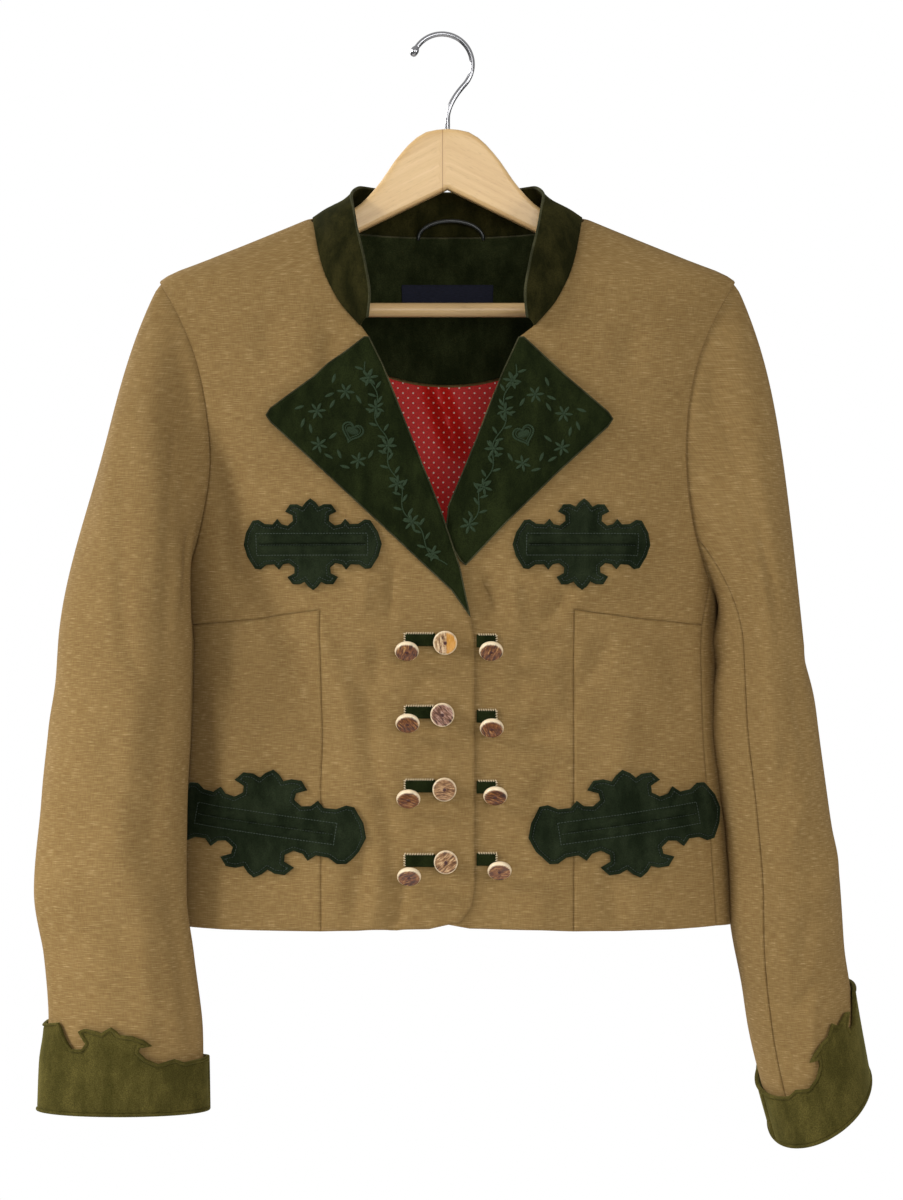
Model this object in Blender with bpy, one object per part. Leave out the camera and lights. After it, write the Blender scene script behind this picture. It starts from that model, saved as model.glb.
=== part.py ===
"""A women's trachten jacket on a wooden hanger, hanging from the hanger's wire hook.

Metres, +Z up, front towards -Y, origin at the underside of the hook's top. "Right" is the wearer's
right, which is -X. All sizes below are in millimetres, and "drop" is a distance down from the origin.

The body of the jacket is one smooth form. Each level is a flattened oval with its own half width and
front and back depth, and a point on it is named by its angle round the oval (0 at the centre front, 90
at the side, 180 at the centre back) and its drop. Every panel is an outline in those two numbers, given
a wall. What lies on a panel uses the same form, moved out along its normals.
"""

import math

import bmesh
import bpy
import numpy as np
from mathutils import Vector
from mathutils.geometry import delaunay_2d_cdt

for old in list(bpy.data.objects):
    bpy.data.objects.remove(old, do_unlink=True)

MM = 0.001
BODY_X = 4.0  # the jacket hangs this far to one side of the hook's top
CLOTH = 2.0  # linen with its interlining
VELVET = 1.8
PATCH = 1.3
LINING = 1.0
SEAM_GAP = 0.32
SEAM_DEGREES = 0.22  # half of a sleeve's seam gap
LAYER_GAP = 0.6
INSIDE_GAP = 1.5
CUFF_GAP = 1.7  # the cuff stands a little wider round the sleeve's end
OVAL = 2.4  # exponent of the body's oval, 2 being an ellipse
ROUND = 200.0  # mm of outline for each radian round the body

# The body's levels, from the neck down to the hem.
BODY = (
    # drop, half_width, front_depth, back_depth
    (110, 50, 9, 9),
    (132, 98, 17, 17),
    (150, 141, 28, 26),
    (165, 178, 36, 33),
    (176, 205, 41, 37),
    (181, 210.5, 43, 38),
    (200, 209, 48, 42),
    (240, 206, 55, 46),
    (300, 204.5, 60, 49),
    (380, 200, 64, 50),
    (440, 196.5, 62, 48),
    (500, 198, 58, 46),
    (580, 204, 56, 47),
    (680, 211, 55, 48),
)

ARMHOLE_DROP = 298.0
ARMHOLE_HALF = 117.0
ARMHOLE_SPREAD = 35.7  # degrees each way round the body at its widest
SIDE_SEAM = ((399, 72), (445, 67), (648, 67))  # drop, degrees
BACK_SEAM = ((399, 108), (445, 112), (648, 112))  # drop, degrees
SIDE_DROPS = (399, 414.5, 430, 457, 484, 511, 538, 565, 592, 620, 647)
HEM_DROP = 647.0
PRINCESS_X = 90.0  # the upright seam between front and side front
BUST_SEAM = ((90, 419), (135, 425), (182, 430))  # x, drop

# The neck seam on a front, from the shoulder to the notch of the lapel.
NECK_FRONT = ((98, 132), (89.5, 171), (77.3, 197.5), (61, 217))  # x, drop
NECK_BACK_DROP = 143.0

# Inner edge of each front, from the top of the lapel's roll line to the hem, as x and drop. x below 0 lies
# beyond the centre.
EDGE_RIGHT = (
    (55.5, 225),
    (45.6, 245),
    (25, 297),
    (4.5, 348),
    (-8.9, 388),
    (-16.5, 424),
    (-19.5, 450),
    (-19.5, 612),
    (-17, 630),
    (-9, 641),
)
EDGE_LEFT = (
    (50.7, 225),
    (38.7, 251),
    (19.6, 300),
    (4, 345),
    (-8, 385),
    (-17, 425),
    (-20, 450),
    (-20, 612),
    (-16, 632),
    (-6, 642),
)
UNDERLAP = 3.0  # the left front sinks this far to pass under the right one

# Lapels: the tip and the lower edge, down to the front edge, as x and drop.
LAPEL_RIGHT = (
    (59, 225),
    (92, 252),
    (124.5, 276),
    (127.8, 281),
    (124, 286.5),
    (70, 337),
    (-3, 405),
    (-16, 424),
)
LAPEL_LEFT = (
    (54.5, 225),
    (86, 255),
    (113.5, 279),
    (116.8, 284),
    (113, 289.5),
    (74.8, 325),
    (42.2, 357),
    (13, 387.5),
)
LAPEL_LEFT_END = ((11, 384), (9.5, 378), (8, 362))
LAPEL_GAP = 0.8
LAPEL_LIFT = 5.0  # how far the tips stand off the fronts

# Stand collar: for each place along the neck seam, from the centre back to the front end.
COLLAR_TOP = (
    # x, y, drop of the upper edge
    (0, 20, 112),
    (38, 18, 111),
    (63, 8, 109),
    (70, -12, 117),
    (66.5, -36, 141),
    (59.5, -54, 172),
    (56, -61, 196),
    (57.5, -58, 211),
)
COLLAR_THICK = 2.4
COLLAR_RAISE = 1.2  # its lower edge stands this far clear of the neck seam

# Back facing inside the neck: a half moon.
FACING_CENTRE_DROP = 150.0
FACING_HALF = 122.0
FACING_DEEP = 101.0

# Sleeve sections below the armhole. x is measured outwards, roll and pitch tilt the section.
SLEEVE_RIGHT = (
    # drop, centre_x, centre_y, half_width, half_depth, roll, pitch
    (445, 229, -54, 47.5, 42, 0, 0),
    (500, 231.5, -53, 49, 40, 0, 0),
    (560, 237, -52, 52, 36, 0, 0),
    (620, 240, -51, 54.5, 32, 0, 0),
    (665, 234, -49, 53.5, 30, 0, 0),
    (715, 229.5, -47, 55, 27, 0, 0),
    (742, 231, -46, 57, 25.5, 0, 0),
    (776, 231.5, -45, 58, 25, 0, 0),
)
SLEEVE_LEFT = (
    (445, 230.5, -4, 31.5, 59, 0, 0),
    (500, 235, -6, 34, 55, 0, 0),
    (560, 242, -7, 35, 51.5, 0, 0),
    (620, 248.5, -8, 37, 47, 0, 0),
    (662, 250, -9, 38, 44, 0.1, 0.08),
    (700, 254.5, -10, 37, 42, 0.42, 0.25),
    (733, 261, -11, 34.5, 43, 0.68, 0.4),
    (776, 270.5, -12, 33.5, 45, 0.56, 0.42),
)
SLEEVE_TURN = {"right": -55.0, "left": 0.0}  # degrees that the sleeve swings forward below its head
OUTWARD = {"right": 1.0, "left": -1.0}
HEAD_BULGE = 57.0
UNDERARM_BULGE = 13.0
UNDER_FROM, UNDER_TO = 128.0, 232.0  # the under sleeve, in degrees round the armhole from the shoulder
SLEEVE_END = 7.2  # where the sleeve cloth ends inside the cuff, in rows of the table

# The largest creases of the sleeves: ridges (+) and troughs (-) laid across the form.
SLEEVE_CREASES = {
    "right": (
        # from_degrees, from_row, to_degrees, to_row, height, half_breadth
        (20, 0.10, 88, 0.75, 5.0, 14),
        (48, 0.05, 110, 0.62, -4.0, 13),
        (-25, 0.35, 40, 1.6, -3.5, 18),
        (-60, 0.2, -110, 1.2, 4.0, 18),
        (30, 3.0, 75, 4.4, 3.0, 14),
    ),
    "left": (
        (18, 0.08, 80, 0.7, 5.0, 14),
        (50, 0.06, 112, 0.55, -4.0, 13),
        (-30, 0.3, 30, 1.5, -3.5, 18),
        (-60, 0.2, -110, 1.2, 4.0, 18),
        (20, 3.4, 85, 4.3, 3.5, 14),
    ),
}

# One quarter of the curled outline that the pocket appliques share, at the size of the upper pockets.
CURL = (
    # x, y
    (50.5, 0),
    (48, 8.5),
    (42.5, 17),
    (38.5, 17.5),
    (34, 14.5),
    (28, 14.2),
    (24.5, 18),
    (21.5, 14.3),
    (17, 13.3),
    (13, 16.5),
    (13.3, 20.5),
    (18.5, 23.2),
    (14.8, 28.3),
    (9.7, 28.4),
    (6, 26.6),
    (3.4, 30),
    (0, 32.5),
)
POCKETS = {
    # centre_x, centre_drop, scale_x, scale_y, slope in degrees (down towards the centre front)
    "upper": (96, 372.5, 0.98, 1.0, 0.0),
    "lower": (131, 571.5, 1.45, 1.2, 7.5),
}
WELT_HALF = (36.0, 7.5)  # half sizes of the raised welt, at the size of the upper pockets
WELT_RISE = 1.0

# The cuff's curled upper edge, from its outer side over the front to the seam at its inner side.
CUFF_CURL = (
    # across, height above the foot
    (0, 62),
    (11.5, 67),
    (16, 57),
    (22.5, 48),
    (29, 48),
    (31.7, 53),
    (26, 60.5),
    (31, 63),
    (43, 60),
    (49.6, 65),
    (56, 59),
    (65, 58.4),
    (73, 56),
    (78, 52),
    (70.4, 50.6),
    (69.7, 47),
    (75, 41),
    (83, 37),
    (94, 40),
    (100, 37),
    (113, 39),
)
CUFF_WIDE = 113.0
CUFF_TURN = {"right": -55.0, "left": -20.0}  # degrees from the shoulder line to the curl's outer side

BUTTON_RADIUS = 8.5
BUTTON_THICK = 4.5
BUTTON_DROPS = {
    "centre": (442, 493, 546, 597.5),
    "right": (446.5, 497.5, 551, 606),
    "left": (446.5, 501, 549, 602),
}
BUTTON_X = {"centre": (1.5, 3.5, 2, 1), "right": (28.5, 28, 27.5, 27), "left": (31, 31.5, 34, 37)}
TILTED = 51.0  # degrees that the side buttons hang face down
TAB_DROPS = {"right": (440, 491.5, 544, 597), "left": (441, 494.5, 545, 596.5)}
TAB_SPAN = {"right": (8.5, 30), "left": (20.8, 35)}
TAB_HIGH = 9.0
TAB_THICK = 1.2

# Hanger: half of the flat wooden outline, from the middle of the top round to the middle underneath.
HANGER_HALF = (
    # x, drop
    (0, 68),
    (12, 69.2),
    (21.5, 73.7),
    (35.4, 87.6),
    (52.2, 111),
    (68, 126.2),
    (100, 139.5),
    (150, 160.5),
    (190, 177.5),
    (198, 183),
    (200, 190),
    (199, 205),
    (194, 210),
    (185, 210),
    (180, 205),
    (176, 194.5),
    (168, 187.5),
    (66, 144),
    (0, 112),
)
HANGER_THICK = 12.0
BAR_RADIUS = 5.25
BAR_DROP = 200.0
BAR_HALF = 188.0
FIT = 0.35
WIRE = 1.9
HOOK_RADIUS = 22.2
STEM_X = 4.0
STEM_IN_WOOD = 18.0

COLOURS = {
    # base colour (linear), roughness, metallic
    "linen": ((0.36, 0.25, 0.125), 0.9, 0.0),
    "velvet": ((0.013, 0.022, 0.012), 0.8, 0.0),
    "cuff_velvet": ((0.035, 0.05, 0.02), 0.8, 0.0),
    "applique": ((0.012, 0.026, 0.024), 0.8, 0.0),
    "lining": ((0.42, 0.02, 0.03), 0.5, 0.0),
    "label": ((0.012, 0.016, 0.04), 0.6, 0.0),
    "horn": ((0.3, 0.2, 0.11), 0.35, 0.0),
    "beech": ((0.6, 0.42, 0.25), 0.35, 0.0),
    "steel": ((0.7, 0.7, 0.7), 0.2, 1.0),
}


def material(name):
    """The Principled material of that name, made once."""
    made = bpy.data.materials.get(name) or bpy.data.materials.new(name)
    made.use_nodes = True
    shader = made.node_tree.nodes["Principled BSDF"]
    colour, roughness, metallic = COLOURS[name]
    shader.inputs["Base Color"].default_value = (*colour, 1.0)
    shader.inputs["Roughness"].default_value = roughness
    shader.inputs["Metallic"].default_value = metallic
    return made


def smooth(places, values, at):
    """A smooth curve through (places, values) that never overshoots: cubic pieces whose slope at each
    place is the harmonic mean of the slopes beside it, or level at a peak."""
    places, values, at = (np.asarray(part, float) for part in (places, values, at))
    widths = np.diff(places)
    slopes = np.diff(values) / widths
    product = slopes[:-1] * slopes[1:]
    total = slopes[:-1] + slopes[1:]
    inner = np.where(product > 0, 2 * product / np.where(total == 0, 1, total), 0.0)
    tangents = np.concatenate([slopes[:1], inner, slopes[-1:]])
    i = np.clip(np.searchsorted(places, at) - 1, 0, len(widths) - 1)
    t = np.clip((at - places[i]) / widths[i], 0, 1)
    rise = values[i + 1] - values[i]
    left = tangents[i] * widths[i]
    right = tangents[i + 1] * widths[i]
    return values[i] + t * (left + t * (3 * rise - 2 * left - right + t * (left + right - 2 * rise)))


def fade(value, start, end):
    """0 before start, 1 after end, and an even S between them."""
    t = np.clip((np.asarray(value, float) - start) / (end - start), 0, 1)
    return t * t * (3 - 2 * t)


def through(points, count):
    """Points on a rounded line through the given ones, evenly spaced along it."""
    points = np.asarray(points, float)
    at = np.concatenate([[0], np.cumsum(np.linalg.norm(np.diff(points, axis=0), axis=1))])
    wanted = np.linspace(0, at[-1], count)
    return np.stack([smooth(at, points[:, k], wanted) for k in range(points.shape[1])], axis=1)


def straight(points, step):
    """The same corners, with points between them no further apart than step."""
    points = np.asarray(points, float)
    out = [points[:1]]
    for a, b in zip(points[:-1], points[1:]):
        count = max(1, math.ceil(np.linalg.norm(b - a) / step))
        out.append(a + (b - a) * np.linspace(0, 1, count + 1)[1:, None])
    return np.concatenate(out)


# The body's form


def level(drop):
    """Half width, front depth and back depth of the body at each drop."""
    rows = np.array(BODY, float)
    return [smooth(rows[:, 0], rows[:, k], drop) for k in (1, 2, 3)]


def body(round_mm, drop, sink=0.0):
    """Points of the body's outer form. With p the angle, x = half width * sin(p)^(2/n) and
    y = -depth * cos(p)^(2/n), the signs kept, where n is the oval's exponent."""
    angle = np.asarray(round_mm, float) / ROUND
    half, front, back = level(drop)
    s, c = np.sin(angle), np.cos(angle)
    depth = np.where(c > 0, front, back) - sink
    x = half * np.sign(s) * np.abs(s) ** (2 / OVAL)
    y = -depth * np.sign(c) * np.abs(c) ** (2 / OVAL)
    return np.stack([x, y, -np.asarray(drop, float) * np.ones_like(x)], axis=-1)


def on_front(points):
    """Outline places, as mm round the body and drop, of front points given by x and drop."""
    points = np.asarray(points, float)
    half = level(points[:, 1])[0]
    angle = np.arcsin(np.clip(np.abs(points[:, 0]) / half, 0, 1) ** (OVAL / 2)) * np.sign(points[:, 0])
    return np.stack([angle * ROUND, points[:, 1]], axis=1)


def on_back(points):
    """The same for points on the back, where x past 0 lies beyond the centre."""
    flat = on_front(points)
    flat[:, 0] = math.pi * ROUND - flat[:, 0]
    return flat


def seam_line(rows, drops):
    """An upright seam: its drop and its angle by drop, as outline places."""
    rows = np.array(rows, float)
    angle = smooth(rows[:, 0], rows[:, 1], drops)
    return np.stack([np.radians(angle) * ROUND, drops], axis=1)


def armhole(turn):
    """Outline places of the armhole, by degrees from the shoulder (90 is the front, 180 the underarm)."""
    turn = np.radians(np.asarray(turn, float))
    angle = 90.0 - ARMHOLE_SPREAD * np.sin(turn)
    return np.stack([np.radians(angle) * ROUND, ARMHOLE_DROP - ARMHOLE_HALF * np.cos(turn)], axis=1)


def armhole_turn_at(angle):
    """Degrees from the shoulder, on the lower front of the armhole, where it is at this body angle."""
    return 180.0 - math.degrees(math.asin((90.0 - angle) / ARMHOLE_SPREAD))


def left_front(places, drop):
    """The left front's form, which sinks behind the right one near the centre."""
    x = body(places, drop)[..., 0]
    return body(places, drop, UNDERLAP * (1 - fade(x, 20, 62)) * fade(drop, 300, 342))


# The sleeves' form


def sleeve_form(name):
    """The function that gives one sleeve's outer form from degrees round it and rows down its table."""
    side = -1 if name == "right" else 1
    rows = np.array(SLEEVE_RIGHT if name == "right" else SLEEVE_LEFT, float)
    index = np.arange(len(rows))

    def section(turn, row):
        """An ellipse round the section's centre, tilted by its roll and pitch."""
        drop, cx, cy, half, deep, roll, pitch = (smooth(index, rows[:, k], row) for k in range(7))
        angle = np.radians(turn - SLEEVE_TURN[name])
        across, along = half * np.cos(angle), -deep * np.sin(angle)
        return np.stack([cx + across, cy + along, -drop + roll * across + pitch * along], axis=-1)

    def form(turn, row):
        """Row 0 is the armhole and row 1 the first section: between them each point follows a Hermite
        curve that leaves the armhole outwards. Below, the sections blend smoothly."""
        turn, row = np.broadcast_arrays(np.asarray(turn, float), np.asarray(row, float))
        ring = body(*armhole(turn.ravel()).T).reshape(*turn.shape, 3)
        first = section(turn, np.zeros_like(turn))
        second = section(turn, np.full_like(turn, 0.5))
        t = np.clip(row, 0, 1)[..., None]
        bulge = UNDERARM_BULGE + HEAD_BULGE * (1 + np.cos(np.radians(turn))) / 2
        out = np.stack([0.9 * bulge, -0.45 * bulge * np.sin(np.radians(turn)), 0 * bulge], axis=-1)
        gap = np.linalg.norm(first - ring, axis=-1, keepdims=True)
        leave = 0.8 * (first - ring) + out
        arrive = (second - first) / np.linalg.norm(second - first, axis=-1, keepdims=True) * gap
        head = (
            (1 + t * t * (2 * t - 3)) * ring
            + t * (1 - t) ** 2 * leave
            + t * t * (3 - 2 * t) * first
            + t * t * (t - 1) * arrive
        )
        below = section(turn, np.maximum(row - 1, 0))
        points = np.where(row[..., None] < 1, head, below)
        points[..., 0] *= side
        return points

    def creased(turn, row):
        """The form with its creases: each is a line across degrees and rows, with a rounded height."""
        turn, row = np.broadcast_arrays(np.asarray(turn, float), np.asarray(row, float))
        points = form(turn, row)
        out = normals(form, turn, row, 0.5, 0.01) * OUTWARD[name]
        for from_turn, from_row, to_turn, to_row, height, half in SLEEVE_CREASES[name]:
            around, down = 0.82, 60.0  # mm for each degree and each row, near enough for a soft crease
            ax, ay = from_turn * around, from_row * down
            bx, by = to_turn * around, to_row * down
            px, py = turn * around, row * down
            length = math.hypot(bx - ax, by - ay)
            along = ((px - ax) * (bx - ax) + (py - ay) * (by - ay)) / length**2
            away = ((px - ax) * (by - ay) - (py - ay) * (bx - ax)) / length
            near = np.exp(-((away / half) ** 2)) * fade(along, -0.15, 0.3) * (1 - fade(along, 0.7, 1.15))
            points = points + out * (near * height * fade(row, 0.0, 0.12))[..., None]
        return points

    return creased


def normals(form, u, v, du, dv):
    """Unit normals of a form, from the cross product of its two central differences. They point out of
    the body and of the right sleeve, and into the left sleeve, whose degrees run the other way."""
    across = form(u + du, v) - form(u - du, v)
    down = form(u, v + dv) - form(u, v - dv)
    normal = np.cross(down, across)
    return normal / np.maximum(np.linalg.norm(normal, axis=-1, keepdims=True), 1e-9)


# Turning outlines into closed walls


def add_object(name, points, faces, finish, shift=BODY_X):
    """A mesh object from points in mm, its faces turned outwards."""
    mesh = bpy.data.meshes.new(name)
    placed = (np.asarray(points, float) + (shift, 0, 0)) * MM
    mesh.from_pydata([tuple(p) for p in placed.tolist()], [], [list(f) for f in faces])
    work = bmesh.new()
    work.from_mesh(mesh)
    bmesh.ops.recalc_face_normals(work, faces=work.faces)
    work.to_mesh(mesh)
    work.free()
    mesh.materials.append(material(finish))
    mesh.shade_smooth()
    mesh.set_sharp_from_angle(angle=math.radians(40))
    obj = bpy.data.objects.new(name, mesh)
    bpy.context.collection.objects.link(obj)
    return obj


def inset(outline, form, gap, reach):
    """The outline moved inwards by a true distance, whatever the form's stretch is there."""
    u, v = outline.T
    du, dv = reach
    wide = np.linalg.norm(form(u + du, v) - form(u - du, v), axis=1) / (2 * du)
    high = np.linalg.norm(form(u, v + dv) - form(u, v - dv), axis=1) / (2 * dv)
    stretch = np.stack([wide, high], axis=1)

    def beside(edge):
        """The unit normal on the left of each edge, at true size."""
        edge = edge * stretch
        edge = edge / np.maximum(np.linalg.norm(edge, axis=1, keepdims=True), 1e-9)
        return np.stack([-edge[:, 1], edge[:, 0]], axis=1)

    first = beside(outline - np.roll(outline, 1, axis=0))
    inward = first + beside(np.roll(outline, -1, axis=0) - outline)
    inward = inward / np.maximum((inward * first).sum(axis=1, keepdims=True), 0.5)
    area = np.sum(u * np.roll(v, -1) - v * np.roll(u, -1))
    return outline + inward * math.copysign(gap, area) / stretch


def panel(
    name,
    outline,
    form,
    low,
    high,
    step,
    finish,
    gap=SEAM_GAP / 2,
    lift=None,
    relief=None,
    outward=1.0,
    reach=(1, 1),
):
    """A wall over an outline: the outline is filled with a net of triangles about step apart, and the
    form's points are moved out to low and to high along its normals, with a rim between them. lift moves
    both faces out and relief the outer one alone, by place."""
    outline = inset(np.asarray(outline, float), form, gap, reach)
    step = np.array(step, float) * np.ones(2)
    us = np.arange(outline[:, 0].min() + step[0] / 2, outline[:, 0].max(), step[0])
    vs = np.arange(outline[:, 1].min() + step[1] / 2, outline[:, 1].max(), step[1])
    grid = np.array([(u + (k % 2) * step[0] / 2, v) for k, v in enumerate(vs) for u in us]).reshape(-1, 2)
    grid = grid[inside(grid, outline, 0.45 * step)]
    rim = len(outline)
    vectors = [Vector(place) for place in np.concatenate([outline, grid]) / step]
    edges = [(k, (k + 1) % rim) for k in range(rim)]
    made, _, faces, sources, _, _ = delaunay_2d_cdt(vectors, edges, [list(range(rim))], 1, 1e-7)
    u, v = (np.array([tuple(point) for point in made]) * step).T
    new_place = {source: k for k, found in enumerate(sources) for source in found}
    ring = [new_place[k] for k in range(rim)]
    flat = np.stack([u, v], axis=1)
    base = form(u, v)
    out = normals(form, u, v, *reach) * outward
    lifted = lift(flat) if lift else np.zeros(len(flat))
    raised = relief(flat) if relief else np.zeros(len(flat))
    outer = base + out * (lifted + raised + high)[:, None]
    inner = base + out * (lifted + low)[:, None]
    count = len(flat)
    solid = [list(face) for face in faces]
    solid += [[place + count for place in reversed(face)] for face in faces]
    for here, after in zip(ring, ring[1:] + ring[:1]):
        solid.append([here, after, after + count, here + count])
    return add_object(name, np.concatenate([outer, inner]), solid, finish)


def inside(points, outline, clear):
    """Which points are inside the outline and clear of its edges."""
    found = np.zeros(len(points), bool)
    near = np.zeros(len(points), bool)
    scaled_points = points / clear
    scaled = outline / clear
    for a, b in zip(scaled, np.roll(scaled, -1, axis=0)):
        rising = (a[1] > scaled_points[:, 1]) != (b[1] > scaled_points[:, 1])
        rise = b[1] - a[1] if b[1] != a[1] else 1e-12
        cross = a[0] + (scaled_points[:, 1] - a[1]) * (b[0] - a[0]) / rise
        found ^= rising & (scaled_points[:, 0] < cross)
        edge = b - a
        t = np.clip(((scaled_points - a) @ edge) / max(edge @ edge, 1e-12), 0, 1)
        near |= np.linalg.norm(scaled_points - a - t[:, None] * edge, axis=1) < 1
    return found & ~near


def sheet(name, outer, inner, finish):
    """A wall from two grids of points of the same size, closed all round."""
    rows, columns = outer.shape[:2]
    count = rows * columns
    index = np.arange(count).reshape(rows, columns)
    quads = np.stack([index[:-1, :-1], index[:-1, 1:], index[1:, 1:], index[1:, :-1]], axis=-1).reshape(-1, 4)
    ring = np.concatenate([index[0, :-1], index[:-1, -1], index[-1, :0:-1], index[:0:-1, 0]])
    after = np.roll(ring, -1)
    rim = np.stack([after, ring, ring + count, after + count], axis=1)
    faces = np.concatenate([quads, quads[:, ::-1] + count, rim]).tolist()
    return add_object(name, np.concatenate([outer.reshape(-1, 3), inner.reshape(-1, 3)]), faces, finish)


def mirrored(outline):
    """The same outline on the wearer's right."""
    return np.asarray(outline, float)[::-1] * (-1, 1)


# Cloth body


def front_outline(edge):
    """One front, from the shoulder's neck point round by the neck, front edge, hem and armhole."""
    low_turn = armhole_turn_at(SIDE_SEAM[0][1])
    hem_x = np.array([edge[-1][0] + 22.0, 60.0, PRINCESS_X])
    parts = [
        on_front(through(NECK_FRONT, 9)),
        on_front(straight(np.array(edge, float), 24)),
        on_front(np.stack([hem_x, [HEM_DROP - 1, HEM_DROP, HEM_DROP + 1]], axis=1)),
        on_front(princess_line()),
        on_front(straight(BUST_SEAM, 18)[1:-1]),
        seam_line(SIDE_SEAM, np.array(SIDE_DROPS[2:0:-1])),
        armhole(np.linspace(low_turn, 0, 16)),
        seam_line(((120, 90), (190, 90)), np.array([172, 162, 150, 140.0])),
    ]
    return np.concatenate(parts)


def princess_line():
    """The upright seam, from just above the hem to the bust seam."""
    return straight([(PRINCESS_X, HEM_DROP - 22), (PRINCESS_X, BUST_SEAM[0][1])], 24)


def make_fronts():
    panel("front_right", mirrored(front_outline(EDGE_RIGHT)), body, -CLOTH, 0, 25, "linen")
    panel("front_left", front_outline(EDGE_LEFT), left_front, -CLOTH, 0, 25, "linen")
    hem = np.stack([np.array([160.0, 125.0, PRINCESS_X]), np.full(3, HEM_DROP + 1)], axis=1)
    side_front = np.concatenate(
        [
            on_front(straight(BUST_SEAM, 18)[:-1]),
            seam_line(SIDE_SEAM, np.array(SIDE_DROPS[2:])),
            on_front(hem),
            on_front(princess_line()[:-1]),
        ]
    )
    low_turn = armhole_turn_at(SIDE_SEAM[0][1])
    side_drops = np.array(SIDE_DROPS)
    side = np.concatenate(
        [
            armhole(np.linspace(360 - low_turn, low_turn, 9))[:-1],
            seam_line(SIDE_SEAM, side_drops),
            [(math.radians(90) * ROUND, HEM_DROP + 1)],
            seam_line(BACK_SEAM, side_drops[::-1][:-1]),
        ]
    )
    for name, turn in (("left", np.array), ("right", mirrored)):
        form = left_front if name == "left" else body
        panel("side_front_" + name, turn(side_front), form, -CLOTH, 0, 26, "linen")
        panel("side_panel_" + name, turn(side), body, -CLOTH, 0, (16, 30), "linen")


def back_neck(count):
    """The back neck seam from the left shoulder over the centre back to the right one."""
    angle = np.linspace(90, 270, count)
    drop = NECK_FRONT[0][1] + (NECK_BACK_DROP - NECK_FRONT[0][1]) * np.sin(np.radians(angle - 90)) ** 2
    return np.stack([np.radians(angle) * ROUND, drop], axis=1)


def other_side(outline):
    """The left half of a back outline, mirrored across the centre back and reversed."""
    outline = np.asarray(outline, float)[::-1]
    return np.stack([2 * math.pi * ROUND - outline[:, 0], outline[:, 1]], axis=1)


def make_back():
    high_turn = 360 - armhole_turn_at(SIDE_SEAM[0][1])
    ridge = seam_line(((120, 90), (190, 90)), np.array([172, 162, 150, 140.0]))
    hole = armhole(np.linspace(high_turn, 360, 16))
    seam = seam_line(BACK_SEAM, np.array(SIDE_DROPS[:0:-1]))
    left = np.concatenate([seam, hole, ridge])
    hem = np.stack([np.radians(np.linspace(236, 124, 12)) * ROUND, np.full(12, HEM_DROP + 1)], axis=1)
    outline = np.concatenate([left, back_neck(15), other_side(left), hem])
    panel("back", outline, body, -CLOTH, 0, (32, 30), "linen")


# Inside the neck


def facing_edge(count, half):
    """The facing's lower edge, a half ellipse from one side to the other."""
    x = half * np.cos(np.linspace(0, math.pi, count))
    deep = FACING_DEEP * np.sqrt(np.clip(1 - (x / FACING_HALF) ** 2, 0, 1))
    return np.stack([x, FACING_CENTRE_DROP + deep], axis=1)


def make_inside():
    inner = -CLOTH - INSIDE_GAP
    neck = back_neck(17)[2:-2] + (0, 2.5)
    edge = facing_edge(17, 0.84 * FACING_HALF)
    facing = np.concatenate([neck, on_back(edge)[::-1]])
    panel("back_facing", facing, body, inner - VELVET, inner, 24, "velvet", gap=0.6)
    low = facing_edge(13, 0.78 * FACING_HALF)
    sides = np.linspace(300, 628, 9)
    foot = np.stack([np.radians(np.linspace(126, 234, 8)) * ROUND, np.full(8, 632.0)], axis=1)
    left = np.stack([np.radians(np.full(9, 120.0)) * ROUND, sides], axis=1)
    lining = np.concatenate([left, foot, other_side(left), on_back(low)[::-1] + (0, 1.5)])
    top = inner - LAYER_GAP
    panel("lining_back", lining, body, top - LINING, top, (38, 36), "lining", gap=0.5)
    corners = [(34, 176.5), (-34, 176.5), (-34, 206.5), (34, 206.5)]
    label = on_back(straight([*corners, corners[0]], 17)[:-1])
    top = inner - VELVET - LAYER_GAP
    panel("label", label, body, top - 0.9, top, 20, "label")
    arch = np.linspace(0, math.pi, 13)
    loop_x = 24.0 * np.cos(arch)
    loop_drop = 145.5 - 13.0 * np.sin(arch)
    depth = body(*on_back(np.stack([loop_x, np.full(13, 147.0)], axis=1)).T)[:, 1]
    route = np.stack([loop_x + 2.5, depth - 6.6 - 2 * np.sin(arch), -loop_drop], axis=1)
    tube("hang_loop", route, 1.5, "velvet", 1)


def tube(name, route, radius, finish, resolution, shift=BODY_X):
    """A round rod along a route, as a bevelled curve with filled ends."""
    curve = bpy.data.curves.new(name, "CURVE")
    curve.dimensions = "3D"
    curve.bevel_depth = radius * MM
    curve.bevel_resolution = resolution
    curve.use_fill_caps = True
    line = curve.splines.new("POLY")
    line.points.add(len(route) - 1)
    placed = (np.asarray(route, float) + (shift, 0, 0)) * MM
    line.points.foreach_set("co", np.concatenate([placed, np.ones((len(route), 1))], axis=1).ravel())
    curve.materials.append(material(finish))
    obj = bpy.data.objects.new(name, curve)
    bpy.context.collection.objects.link(obj)
    return obj


# Collar and lapels


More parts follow.
